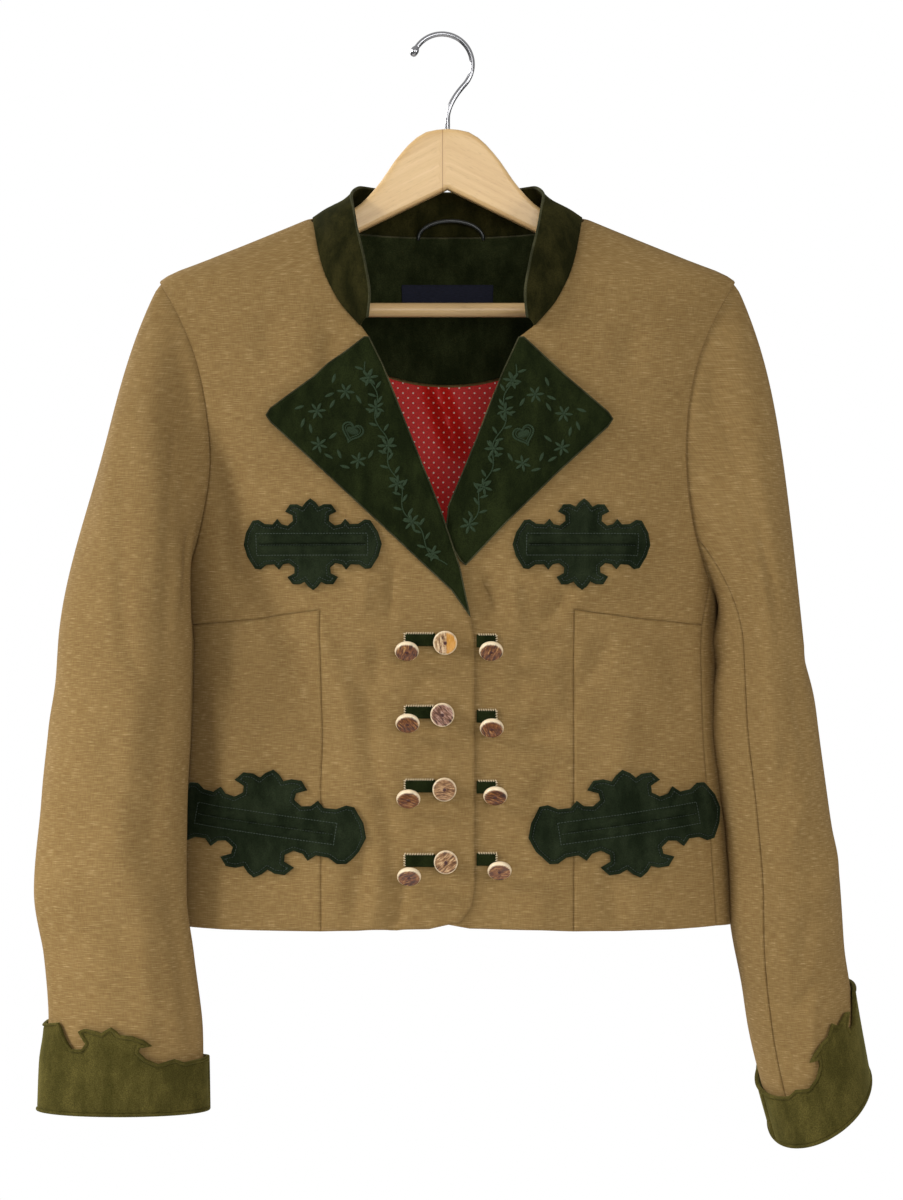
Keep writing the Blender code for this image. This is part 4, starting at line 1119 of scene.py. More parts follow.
def net(outline, step, rings=()):
    """Points and triangles that fill an outline: the outline's own points, rings of points at the given
    distances inside it, and a grid of points about step apart. Returns the places, the triangles and the
    outline's indices in order."""
    outline = straight(np.concatenate([outline, outline[:1]]), step)[:-1]
    inner = []
    for away in rings:
        ring = inset(outline, away)
        nearest, found = outline_distance(ring, outline)
        inner.append(ring[found & (nearest > 0.9 * away)])
    low, high = outline.min(axis=0), outline.max(axis=0)
    u, v = np.meshgrid(np.arange(low[0], high[0], step), np.arange(low[1], high[1], step))
    u[1::2] += step / 2
    grid = np.stack([u.ravel(), v.ravel()], axis=1)
    nearest, found = outline_distance(grid, outline)
    grid = grid[found & (nearest > max(rings, default=0) + 0.5 * step)]
    rim = len(outline)
    vectors = [Vector(place) for place in np.concatenate([outline, *inner, grid]) / step]
    edges = [(k, (k + 1) % rim) for k in range(rim)]
    made, _, faces, sources, _, _ = delaunay_2d_cdt(vectors, edges, [list(range(rim))], 1, 1e-5)
    flat = np.array([tuple(point) for point in made]) * step
    new_place = {source: k for k, found in enumerate(sources) for source in found}
    return flat, np.array(faces), np.array([new_place[k] for k in range(rim)])


SEAM_RINGS = (0.7, 1.6, 2.8)
CORD_RINGS = (0.25, 0.7, 1.2, 1.7, 2.1, 2.45, 2.8, 3.4)


def seam_edge(away):
    """Cloth that turns in to a seam: it sinks towards the edge as (1 - away/width)^2."""
    return -SEAM_DEEP * np.clip(1 - away / SEAM_WIDE, 0, 1) ** 2


def cord_edge(away):
    """A rolled edge, half round, with a groove just inside it."""
    across = np.clip((away - CORD / 2) / (CORD / 2), -1, 1)
    groove = np.exp(-(((away - CORD - GROOVE_IN) / GROOVE_HALF) ** 2))
    roll = CORD_HIGH * np.sqrt(1 - across**2) * (away < CORD)
    return roll - GROOVE_DEEP * groove - 0.5 * (away < 0.1)


def flat_edge(away):
    """An edge that stays level."""
    return 0 * away


def note_cut(points, faces):
    """Works out the area of a sheet's faces in square metres, and does nothing with it."""
    corners = np.asarray(points).reshape(-1, 3)[faces] * MM
    a, b, c = corners[:, 0], corners[:, 1], corners[:, 2]
    area = np.linalg.norm(np.cross(b - a, c - a), axis=1).sum() / 2
    if faces.shape[1] == 4:
        area += np.linalg.norm(np.cross(c - a, corners[:, 3] - a), axis=1).sum() / 2


def panel(
    name,
    outline,
    form,
    low,
    high,
    finish,
    slot,
    nodes=(),
    step=NET,
    gap=0.0,
    lift=None,
    relief=None,
    edge=seam_edge,
    rings=SEAM_RINGS,
    outward=1.0,
    bevel=0.0,
    cloth=None,
    both=False,
):
    """A wall over an outline. The form's points are moved out along its normals to low and to high, with a
    rim between them. lift moves both faces out by place, relief the outer one alone, and edge does so by
    the distance from the outline, on both faces where both is set."""
    outline = inset(np.asarray(outline, float), gap)
    flat, faces, ring = net(outline, step, rings)
    u, v = flat.T
    base = form(u, v)
    out = normals(form, u, v) * outward
    lifted = lift(flat) if lift else np.zeros(len(flat))
    turned_in = edge(outline_distance(flat, outline)[0])
    raised = turned_in + (relief(flat) if relief else 0)
    outer = base + out * (lifted + raised + high)[:, None]
    inner = base + out * (lifted + low - turned_in * both)[:, None]
    corners = outer[faces]
    turned = np.cross(corners[:, 1] - corners[:, 0], corners[:, 2] - corners[:, 0])
    if (turned * out[faces[:, 0]]).sum() < 0:
        faces = faces[:, ::-1]
    count = len(flat)
    after = np.roll(ring, -1)
    side = np.stack([ring, after, after + count, ring + count], axis=1)
    if rim_turned(faces, ring[0], after[0]):
        side = side[:, ::-1]
    every = faces.tolist() + (faces[:, ::-1] + count).tolist() + side.tolist()
    uv = flat if cloth is None else cloth(flat)
    note_cut(outer, faces)
    uv = np.concatenate([uv, uv])
    return add_object(name, np.concatenate([outer, inner]), every, finish, nodes, uv, bevel=bevel)


def rim_turned(faces, a, b):
    """Whether the net already has an edge from a to b, so that the rim's faces run the other way."""
    return bool(((faces == a) & (np.roll(faces, -1, axis=1) == b)).any())


def sheet_mesh(name, outer, inner, finish, nodes, uv, bevel=0.5):
    """A wall from two grids of points of the same size, closed all round."""
    rows, columns = outer.shape[:2]
    count = rows * columns
    index = np.arange(count).reshape(rows, columns)
    quads = np.stack([index[:-1, :-1], index[:-1, 1:], index[1:, 1:], index[1:, :-1]], axis=-1).reshape(-1, 4)
    ring = np.concatenate([index[0, :-1], index[:-1, -1], index[-1, :0:-1], index[:0:-1, 0]])
    after = np.roll(ring, -1)
    rim = np.stack([after, ring, ring + count, after + count], axis=1)
    points = np.concatenate([outer.reshape(-1, 3), inner.reshape(-1, 3)])
    a, b, _, d = points[quads].transpose(1, 0, 2)
    facing = (np.cross(b - a, d - a) * (outer - inner).reshape(-1, 3)[quads[:, 0]]).sum()
    faces = np.concatenate([quads, quads[:, ::-1] + count, rim])
    if facing < 0:
        faces = faces[:, ::-1]
    note_cut(outer, quads)
    uv = np.concatenate([uv.reshape(-1, 2)] * 2)
    return add_object(name, points, faces.tolist(), finish, nodes, uv, bevel=bevel)


# Cloth body


def princess_line():
    """The upright seam, from just above the hem to the bust seam."""
    return straight([(PRINCESS_X, HEM_DROP - PRINCESS_FOOT), (PRINCESS_X, BUST_SEAM[0][1])], 12)


def front_outline(edge):
    """One front, from the shoulder's neck point round by the neck, front edge, hem and armhole."""
    low_turn = armhole_turn_at(SIDE_SEAM[0][1])
    hem_x = np.array([edge[-1][0] + FRONT_CORNER, 60.0, PRINCESS_X])
    parts = [
        on_front(through(NECK_FRONT, 21)),
        on_front(through(edge, 90)),
        on_front(np.stack([hem_x, [HEM_DROP - 1, HEM_DROP, HEM_DROP + 1]], axis=1)),
        on_front(princess_line()),
        on_front(straight(BUST_SEAM, 12)[1:-1]),
        seam_line(SIDE_SEAM, np.linspace(BUST_SIDE_DROP, SEAM_TOP, 9)[:-1]),
        armhole(np.linspace(low_turn, 0, 48)),
        shoulder_seam(),
    ]
    return np.concatenate(parts)


def back_neck(count):
    """The back neck seam from the left shoulder over the centre back to the right one."""
    angle = np.linspace(90, 270, count)
    drop = NECK_FRONT[0][1] + (NECK_BACK_DROP - NECK_FRONT[0][1]) * np.sin(np.radians(angle - 90)) ** 2
    return np.stack([round_of(angle), drop], axis=1)


def linen_panel(piece, outline, form=body):
    """One panel of the body, cut a little large so that it meets its neighbours under the seam."""
    panel(f"{piece}_cloth", outline, form, -CLOTH, 0, "linen", "linen", [piece], gap=-SEAM_OVERLAP)


def make_body():
    """The two fronts, the two side fronts, the two side panels and the back."""
    linen_panel("front_right", mirrored(front_outline(EDGE_RIGHT)))
    linen_panel("front_left", front_outline(EDGE_LEFT), left_front)
    hem = np.stack([np.array([160.0, 125.0, PRINCESS_X]), np.full(3, HEM_DROP + 1)], axis=1)
    down = seam_line(SIDE_SEAM, np.linspace(BUST_SIDE_DROP, HEM_DROP, 40))
    side_front = np.concatenate(
        [on_front(straight(BUST_SEAM, 12)[:-1]), down, on_front(hem), on_front(princess_line()[:-1])]
    )
    low_turn = armhole_turn_at(SIDE_SEAM[0][1])
    drops = np.linspace(SEAM_TOP, HEM_DROP, 50)
    side = np.concatenate(
        [
            armhole(np.linspace(360 - low_turn, low_turn, 25))[:-1],
            seam_line(SIDE_SEAM, drops),
            [(round_of(90.0), HEM_DROP + 1)],
            seam_line(BACK_SEAM, drops[::-1][:-1]),
        ]
    )
    for name, turn, form in (("left", np.array, left_front), ("right", mirrored, body)):
        linen_panel(f"side_front_{name}", turn(side_front), form)
        linen_panel(f"side_panel_{name}", turn(side))
    hole = armhole(np.linspace(360 - low_turn, 360, 48))
    left = np.concatenate([seam_line(BACK_SEAM, drops[::-1][:-1]), hole, shoulder_seam()])
    hem = np.stack([round_of(np.linspace(236, 124, 24)), np.full(24, HEM_DROP + 1)], axis=1)
    outline = np.concatenate([left, back_neck(41), other_side(left), hem])
    linen_panel("back", outline)


def facing_edge(count, half):
    """The facing's lower edge, a half ellipse from one side to the other."""
    x = half * np.cos(np.linspace(0, math.pi, count))
    deep = FACING_DEEP * np.sqrt(np.clip(1 - (x / FACING_HALF) ** 2, 0, 1))
    return np.stack([x, FACING_CENTRE_DROP + deep], axis=1)


def make_inside():
    """The back facing, the lining, the neck label, the hanging loop and the roll along the facing."""
    inner = -CLOTH - INSIDE_GAP
    neck = back_neck(49)[6:-6] + (0, 0.3)
    facing = np.concatenate([neck, on_back(facing_edge(49, FACING_SHARE * FACING_HALF))[::-1]])
    # Its velvet is painted lighter against the shade inside the jacket.
    panel("facing", facing, body, inner - VELVET, inner, "facing", "dark_velvet", ["back_facing"])
    sides = np.linspace(LINING_TOP, LINING_FOOT - 4, 9)
    foot_angles = np.linspace(LINING_SIDE + 6, 354 - LINING_SIDE, 8)
    foot = np.stack([round_of(foot_angles), np.full(8, LINING_FOOT)], axis=1)
    left = np.stack([np.full(9, round_of(LINING_SIDE)), sides], axis=1)
    low = on_back(facing_edge(37, LINING_SHARE * FACING_HALF))[::-1] + (0, 1.5)
    lining = np.concatenate([left, foot, other_side(left), low])
    top = inner - LAYER_GAP

    def pleats(flat):
        """The lining's loose pleat and its centre seam, which stand inwards."""
        return -fold_height(flat[:, 0], flat[:, 1], LINING_FOLDS)

    kept = {"gap": 0.5, "lift": pleats, "step": 3.2}
    panel("lining", lining, body, top - LINING, top, "lining", "lining", ["lining_back"], **kept)
    left_corners = [(-LABEL_HALF, LABEL_TOP), (-LABEL_HALF, LABEL_FOOT)]
    corners = [(LABEL_HALF, LABEL_TOP), *left_corners, (LABEL_HALF, LABEL_FOOT)]
    label = on_back(straight([*corners, corners[0]], 6)[:-1])
    top = inner - VELVET - LAYER_GAP
    kept = {"edge": flat_edge, "rings": (), "bevel": 0.3}
    panel("neck_label", label, body, top - LABEL, top, "label", "label", ["label"], **kept)
    arch = np.linspace(0, math.pi, 33)
    loop_x = LOOP_HALF * np.cos(arch)
    loop_drop = LOOP_DROP - LOOP_RISE * np.sin(arch)
    depth = body(*on_back(np.stack([loop_x, np.full(33, 147.0)], axis=1)).T)[:, 1]
    route = np.stack([loop_x + LOOP_X, depth - LOOP_OUT - LOOP_BOW * np.sin(arch), -loop_drop], axis=1)
    tube("loop", route, LOOP_RADIUS, "satin", ["hang_loop"])
    seam = body(*(back_neck(81)[10:-10] + (0, 0.3)).T)
    inwards = normals(body, *back_neck(81)[10:-10].T) * (inner - FACING_ROLL)
    # The roll along the facing is painted lighter, a painted highlight.
    tube("facing_edge", seam + inwards, FACING_ROLL, "highlit_edge_velvet", sides=8)


def tube(name, route, radius, finish, nodes=(), sides=12, shift=BODY_X):
    """A round rod along a route: rings set square to the route, turned as little as possible between them,
    with its ends closed by smaller rings and a point."""
    route = np.asarray(route, float)
    radius = np.broadcast_to(np.asarray(radius, float), len(route))
    run = np.gradient(route, axis=0)
    run /= np.linalg.norm(run, axis=1, keepdims=True)
    side = np.cross(run, (0.0, 1.0, 0.0))
    side = np.where(np.linalg.norm(side, axis=1, keepdims=True) < 0.1, np.cross(run, (1.0, 0.0, 0.0)), side)
    side /= np.linalg.norm(side, axis=1, keepdims=True)
    up = np.cross(run, side)
    turn = np.linspace(0, 2 * math.pi, sides, endpoint=False)
    round_way = side[:, None] * np.cos(turn)[:, None] + up[:, None] * np.sin(turn)[:, None]
    rings = route[:, None] + round_way * radius[:, None, None]
    caps = []
    for end, way in ((0, -1), (-1, 1)):
        bend = np.radians([35, 65])[:, None, None]
        round_it = round_way[end] * radius[end] * np.cos(bend)
        caps.append(route[end] + round_it + way * run[end] * radius[end] * np.sin(bend))
    rings = np.concatenate([caps[0][::-1], rings, caps[1]])
    tips = np.stack([route[0] - run[0] * radius[0], route[-1] + run[-1] * radius[-1]])
    quads, fans = ring_faces(*rings.shape[:2])
    points = np.concatenate([rings.reshape(-1, 3), tips])
    return add_object(name, points, quads.tolist() + fans.tolist(), finish, nodes, shift=shift)


# Collar and lapels


def make_collar():
    """A stand collar: a grid from the neck seam to its upper edge, bowed outwards a little between."""
    columns = 161
    spread = np.linspace(-1, 1, columns)
    along = np.abs(spread)
    side = np.where(spread < 0, -1.0, 1.0)
    back = back_neck(201)[100:][::-1]
    half = np.concatenate([other_side(back), on_front(through(NECK_FRONT, 101))[1:]])
    seam = body(*half.T)
    length = lengths(seam)
    wanted = along * (length[-1] - COLLAR_SHORT)
    low = np.stack([np.interp(wanted, length, seam[:, k]) for k in range(3)], axis=1)
    top_rows = np.array(COLLAR_TOP, float) * (1, 1, -1)
    at = lengths(top_rows)
    top = np.stack([smooth(at, top_rows[:, k], along * at[-1]) for k in range(3)], axis=1)
    low[:, 0] = np.abs(low[:, 0]) * side
    top[:, 0] = np.abs(top[:, 0]) * side
    rise = top - low
    rise /= np.linalg.norm(rise, axis=1, keepdims=True)
    low = low + rise * COLLAR_RAISE
    run = np.gradient(low, axis=0)
    face = np.cross(run, rise)
    face /= np.linalg.norm(face, axis=1, keepdims=True)
    face *= np.where(((low - NECK_MIDDLE) * face).sum(axis=1, keepdims=True) < 0, -1.0, 1.0)
    rows = np.linspace(0, 1, 13)
    outer = np.stack([low + (top - low) * r + face * (COLLAR_BOW * math.sin(math.pi * r)) for r in rows])
    uv = np.stack(np.broadcast_arrays(spread * length[-1], (rows * COLLAR_HIGH)[:, None]), axis=-1)
    inner = outer - face * COLLAR_THICK
    sheet_mesh("stand_collar", outer, inner, "collar", ["collar"], uv, 0.8)
    # The roll along the collar's top is painted lighter, a painted highlight.
    tube("collar_edge", top - face * COLLAR_THICK / 2, COLLAR_ROLL, "highlit_edge_velvet", sides=10)


def lapel_lift(flat):
    """The lapel rises from the roll line to its tip and free edge."""
    x = np.abs(body(flat[:, 0], flat[:, 1])[:, 0])
    fall = 1 - LAPEL_FALL * fade(flat[:, 1], *LAPEL_FALL_DROP)
    return LAPEL_LIFT * fade(x, *LAPEL_RISE_X) * fall


def make_lapels():
    """Each lapel lies on its front, with a roll along its edge and embroidery on its face."""
    right = np.concatenate([LAPEL_RIGHT[:-1], np.array(EDGE_RIGHT[:6], float)[::-1]])
    left = np.concatenate([LAPEL_LEFT, LAPEL_LEFT_END, np.array(EDGE_LEFT[:3], float)[::-1]])
    low, top = LAPEL_GAP, LAPEL_GAP + VELVET
    for name, outline, turn, form in (("right", right, mirrored, body), ("left", left, np.array, left_front)):
        outline = turn(on_front(straight(np.concatenate([outline, outline[:1]]), 3)[:-1]))
        kept = {"step": 2.5, "lift": lapel_lift}
        panel(f"{name}_lapel", outline, form, low, top, "velvet", "dark_velvet", [f"lapel_{name}"], **kept)
        rim = inset(outline, EDGE_ROLL_IN)
        rim = np.concatenate([rim, rim[:1]])
        away = (top - EDGE_ROLL_DOWN + lapel_lift(rim))[:, None]
        route = form(*rim.T) + normals(form, *rim.T) * away
        # The roll along the lapel's edge is painted lighter, a painted highlight.
        tube(f"{name}_lapel_edge", route, EDGE_ROLL, "highlit_edge_velvet", sides=8)

        def face(flat):
            """The height of the lapel's face."""
            return top + lapel_lift(flat)

        add_patches(f"{name}_lapel_embroidery", embroidery(name), form, face, "green_thread")


# Embroidery: every petal, leaf and stitch is one spindle, with its centre, angle, half length, half width
# and half height.


def add_patches(name, rows, form, base, finish):
    """Spindles laid on a form: rings of six points whose width follows (1 - s^2)^0.75 along s, closed by
    two tips. base gives the height of the cloth under them."""
    rows = np.asarray(rows, float)
    s = np.linspace(-1, 1, 7)[1:-1]
    turn = np.linspace(0, 2 * math.pi, 6, endpoint=False)
    wide = (1 - s**2)[:, None] ** 0.75
    ring = np.stack([np.repeat(s, 6), (wide * np.cos(turn)).ravel(), (wide * np.sin(turn)).ravel()], axis=1)
    unit = np.concatenate([ring, [(-1, 0, 0), (1, 0, 0)]])
    quads, tips = ring_faces(len(s), len(turn))
    centre_x, centre_y, angle, half, across, high = (column[:, None] for column in rows.T)
    along, aside, up = unit[:, 0] * half, unit[:, 1] * across, unit[:, 2] * high
    u = (centre_x + along * np.cos(angle) - aside * np.sin(angle)).ravel()
    v = (centre_y + along * np.sin(angle) + aside * np.cos(angle)).ravel()
    flat = np.stack([u, v], axis=1)
    points = form(u, v) + normals(form, u, v) * (base(flat) + 0.1 + up.ravel())[:, None]
    shift = np.arange(len(rows))[:, None, None] * len(unit)
    quads = (quads + shift).reshape(-1, 4)
    tips = (tips + shift).reshape(-1, 3)
    facing = np.cross(points[quads[8, 1]] - points[quads[8, 0]], points[quads[8, 3]] - points[quads[8, 0]])
    middle = points[:30].mean(axis=0)
    if facing @ (points[quads[8, 0]] - middle) < 0:
        quads, tips = quads[:, ::-1], tips[:, ::-1]
    uv = np.stack([along.ravel(), aside.ravel()], axis=1)
    return add_object(name, points, quads.tolist() + tips.tolist(), finish, uv=uv)


def stitches(route, kind, lean=0.0):
    """Stitches one after the other along a line of flat points."""
    length, spacing, across, high = STITCH[kind]
    route = np.asarray(route, float)
    at = lengths(route)
    middle = np.arange(spacing / 2, at[-1], spacing)
    x, y = (np.interp(middle, at, route[:, k]) for k in (0, 1))
    ahead_x, ahead_y = (np.interp(middle + 0.3, at, route[:, k]) for k in (0, 1))
    behind_x, behind_y = (np.interp(middle - 0.3, at, route[:, k]) for k in (0, 1))
    angle = np.arctan2(ahead_y - behind_y, ahead_x - behind_x) + lean
    even = np.ones_like(x)
    return np.stack([x, y, angle, even * length / 2, even * across, even * high], axis=1)


def flower(x, y, size, turn):
    """Six pointed petals round a small knot."""
    angle = math.radians(turn) + np.arange(6) * math.pi / 3
    reach = 0.56 * size
    form = (0.5 * size, 0.165 * size, 0.5)
    petals = [(x + reach * math.cos(a), y + reach * math.sin(a), a, *form) for a in angle]
    return [*petals, (x, y, 0.0, 1.1, 1.1, 0.7)]


def leaf(x, y, turn, size=3.6):
    """One leaf, pointed at both ends."""
    return [(x, y, math.radians(turn), size, 0.3 * size, 0.45)]


def heart(x, y, size, turn):
    """x = 16 sin^3 t, y = 13 cos t - 5 cos 2t - 2 cos 3t - cos 4t, with satin stitches across it and two
    lines of stitches round it."""
    t = np.linspace(0, 2 * math.pi, 91)
    across = 16 * np.sin(t) ** 3 / 16
    down = -(13 * np.cos(t) - 5 * np.cos(2 * t) - 2 * np.cos(3 * t) - np.cos(4 * t)) / 16
    lean = math.radians(turn)

    def turned(a, b):
        """A place in the heart, turned with it and moved to its middle."""
        a, b = turned_pair(a, b, lean)
        return x + a, y + b

    def line(scale):
        """The heart's outline at a scale."""
        return np.stack(turned(across * scale, (down + 0.15) * scale), axis=1)

    rows = [stitches(line(size), "heart"), stitches(line(size * 0.74), "heart inside")]
    fill = []
    for a in np.linspace(-0.5, 0.5, 9) * size:
        reach = 0.56 * size * math.sqrt(max(0.05, 1 - (a / (0.6 * size)) ** 2)) * 0.8
        fill.append((*turned(a, 0.05 * size), lean + math.pi / 2, reach, 0.55, 0.4))
    return [*np.concatenate(rows), *fill]


def embroidery(name):
    """A garland along the roll line and a heart ringed by flowers and leaves, in flat coordinates."""
    x_shift, y_shift = EMBROIDERY_SHIFT[name]
    rows = []
    for x, y, size, turn in FLOWERS:
        if name == "right" or y < 370:
            rows += flower(x + x_shift, y + y_shift, size, turn)
    for x, y, turn in LEAVES:
        rows += leaf(x + x_shift, y + y_shift, turn)
    rows += heart(*np.add(HEART, (x_shift * 1.35, y_shift)), HEART_SIZE, HEART_TURN)
    stem = through(STEM, 160) + (x_shift, y_shift)
    side = np.stack([stem[:, 1] - np.roll(stem[:, 1], 1), np.roll(stem[:, 0], 1) - stem[:, 0]], axis=1)[1:]
    side /= np.linalg.norm(side, axis=1, keepdims=True)
    at = lengths(stem)[1:]
    stem = stem[1:] + side * (STEM_WAVE * np.sin(2 * math.pi * at / STEM_WAVE_LONG))[:, None]
    if name == "left":
        stem = stem[stem[:, 1] < 360]
    at = lengths(stem)
    rows += list(stitches(stem, "stem"))
    for number, place in enumerate(np.arange(STEM_LEAF_FROM, at[-1] - STEM_LEAF_REACH, STEM_LEAF_EVERY)):
        x, y = np.interp(place, at, stem[:, 0]), np.interp(place, at, stem[:, 1])
        turn = STEM_LEAF_TURN[number % 2]
        x += STEM_LEAF_REACH * math.cos(math.radians(turn))
        y += STEM_LEAF_REACH * math.sin(math.radians(turn))
        rows += leaf(x, y, turn, STEM_LEAF_SIZE)
    rows = np.array(rows, float)
    rows[:, :2] = on_front(rows[:, :2])
    if name == "right":
        rows[:, 0] *= -1
        rows[:, 2] = math.pi - rows[:, 2]
    return rows


# Sleeves and cuffs


def make_sleeves():
    """Each sleeve is a top and an under piece, set into the armhole with a flange under the body's cloth."""
    close = np.array([0, *SEAM_RINGS])
    for name, sign in (("right", -1.0), ("left", 1.0)):
        form = sleeve_form(name)
        head, tube_rows = np.linspace(0.075, 1, 57), np.linspace(1, SLEEVE_END, 120)[1:]
        rows = np.concatenate([close / ROW_MM, head, tube_rows])
        parts = (("top", UNDER_TO - 360, UNDER_FROM, 110), ("under", UNDER_FROM, UNDER_TO, 50))
        for part, start, end, count in parts:
            side = close / TURN_MM
            turns = np.concatenate([start + side, np.linspace(start + 6, end - 6, count), end - side[::-1]])
            row, turn = np.meshgrid(rows, turns, indexing="ij")
            outer = form(turn, row)
            out = normals(form, turn, row, 0.5, 0.01) * OUTWARD[name]
            away = np.minimum(row * ROW_MM, np.minimum(turn - start, end - turn) * TURN_MM)
            uv = np.stack([turn * TURN_MM, -outer[..., 2]], axis=-1)
            uv = np.concatenate([uv[:1] - (0, 1), uv])
            node_name = f"{part}_sleeve_{name}"
            top = outer + out * seam_edge(away)[..., None]
            inner = outer - out * CLOTH
            ring = armhole(turns) * (sign, 1)
            body_out = normals(body, *ring.T)
            top[0] = outer[0] - body_out * SEAM_DEEP
            inner[0] = outer[0] - body_out * CLOTH
            from_middle = ring - (sign * round_of(90.0), ARMHOLE_DROP)
            ring += from_middle / np.linalg.norm(from_middle, axis=1, keepdims=True) * FLANGE
            under = body(*ring.T)
            top = np.concatenate([[under - body_out * FLANGE_TOP], top])
            inner = np.concatenate([[under - body_out * FLANGE_FOOT], inner])
            sheet_mesh(node_name + "_cloth", top, inner, "linen", [node_name], uv)


def make_cuffs():
    """Each cuff wraps its sleeve's end, from a straight foot up to a curled edge that lies on the cloth.
    Its two ends meet at a seam on the inner side."""
    curl = np.array(CUFF_CURL, float)
    phase = np.degrees(np.arccos(1 - 2 * curl[:, 0] / CUFF_WIDE))
    over = np.stack([phase, curl[:, 1]], axis=1)
    edge = np.concatenate([over[:0:-1] * (-1, 1), over])
    for name in ("right", "left"):
        rows = np.array(SLEEVES[name], float)
        sleeve = sleeve_form(name)

        def form(around, height):
            """The sleeve's form by mm round it and mm above the cuff's foot."""
            row = np.interp(rows[-1, 0] - height, rows[:, 0], np.arange(1, len(rows) + 1))
            return sleeve(around / TURN_MM + CUFF_TURN[name], row)

        around = np.concatenate([edge, [(180, 0), (-180, 0)]]) * (TURN_MM, 1)
        low, high = CUFF_GAP, CUFF_GAP + VELVET
        flat = straight(np.concatenate([around, around[:1]]), 1.5)[:-1]
        kept = {"step": 2.2, "edge": cord_edge, "rings": CORD_RINGS, "outward": -OUTWARD[name]}
        panel(f"{name}_cuff", flat, form, low, high, "cuff_velvet", "cuff_velvet", [f"cuff_{name}"], **kept)


# Pockets, tabs and buttons


def make_pockets():
    """Each pocket's applique, with its welts and its lines of stitches."""
    quarter = np.array(CURL, float)
    half = np.concatenate([quarter, quarter[-2::-1] * (-1, 1)])
    whole = np.concatenate([half[:-1], -half[:-1]])
    for level_name, (centre_x, drop, scale_x, scale_y, slope) in POCKETS.items():
        centre = np.array([on_front(np.array([(centre_x, drop)]))[0, 0], drop])
        lean = math.radians(slope)
        axes = np.array([(math.cos(lean), -math.sin(lean)), (math.sin(lean), math.cos(lean))])  # along, down
        long = WELT_LONG[level_name]
        local = straight(np.concatenate([whole, whole[:1]]) * (scale_x, scale_y), 1.3)[:-1]
        box = np.array([(-long, -WELT_HIGH), (long, -WELT_HIGH), (long, WELT_HIGH), (-long, WELT_HIGH)])
        box = box * WELT_STITCHES_AWAY
        rows = [
            stitches(straight([*box, box[0]], 1), "round the welts"),
            stitches([(-long, 0.45), (long, 0.45)], "slit"),
            stitches(inset(local, CORD + 0.5), "applique"),
        ]
        rows = np.concatenate(rows)
        for name, sign, form in (("left", 1.0, left_front), ("right", -1.0, body)):

            def unplaced(flat):
                """Along and down the welt, from the cloth's own place."""
                return (flat * (sign, 1) - centre) @ axes.T

            def welts(flat):
                """Two padded lips, half ellipses, with a slit between them and a pressed line round them."""
                along, down = np.abs(unplaced(flat)).T
                lip = LIP_HIGH * np.sqrt(np.clip(1 - ((down - WELT_HIGH / 2) / (WELT_HIGH / 2)) ** 2, 0, 1))
                end = 1 - fade(along, long - 1.2, long)
                line = np.exp(-(((down - WELT_HIGH - 0.5) / 0.5) ** 2)) * (along < long + 1.5)
                return lip * end - SLIT_DEEP * np.exp(-((down / 0.5) ** 2)) * end - WELT_LINE_DEEP * line

            outline = local @ axes + centre
            outline = outline if sign > 0 else mirrored(outline)
            node_name = f"pocket_{level_name}_{name}"
            low, top = LAYER_GAP, LAYER_GAP + PATCH
            kept = {"step": 1.3, "edge": cord_edge, "rings": CORD_RINGS, "relief": welts}
            patch = f"{node_name}_applique"
            panel(patch, outline, form, low, top, "applique", "applique_velvet", [node_name], **kept)
            placed = rows.copy()
            placed[:, :2] = (rows[:, :2] @ axes + centre) * (sign, 1)
            placed[:, 2] = (rows[:, 2] - lean) if sign > 0 else math.pi - (rows[:, 2] - lean)

            def face(flat):
                """The height of the applique's face."""
                return top + welts(flat)

            add_patches(f"{node_name}_stitches", placed, form, face, "grey_thread")


def make_tabs():
    """Small velvet tabs, each with stitches along its upper and outer sides."""
    for name, sign, form in (("right", -1.0, body), ("left", 1.0, left_front)):
        near, far = TAB_SPAN[name]
        rows = []
        for number, drop in enumerate(TAB_DROPS[name], 1):
            half = TAB_HIGH / 2
            outline = [(near, drop - half), (far, drop - half), (far, drop + half), (near, drop + half)]
            flat = on_front(straight([*outline, outline[0]], 1.5)[:-1])
            flat = mirrored(flat) if name == "right" else flat
            node_name = f"tab_{name}_{number}"
            top = LAYER_GAP + TAB_THICK
            kept = {"step": 1.5, "edge": flat_edge, "rings": (), "bevel": 0.4}
            tab = f"{node_name}_velvet"
            panel(tab, flat, form, LAYER_GAP, top, "velvet", "dark_velvet", [node_name], **kept)
            high = drop - half - 0.1
            route = [(near + 1, high), (far + 0.1, high), (far + 0.1, drop + half - 1)]
            rows.append(stitches(on_front(straight(route, 0.5)), "tab", lean=1.2))
        rows = np.concatenate(rows)
        rows[:, 0] *= sign
        rows[:, 2] = rows[:, 2] if sign > 0 else math.pi - rows[:, 2]

        def face(flat):
            """The stitches lie a little into the velvet."""
            return np.full(len(flat), top - 0.25)

        add_patches(f"tab_stitches_{name}", rows, form, face, "beige_thread")


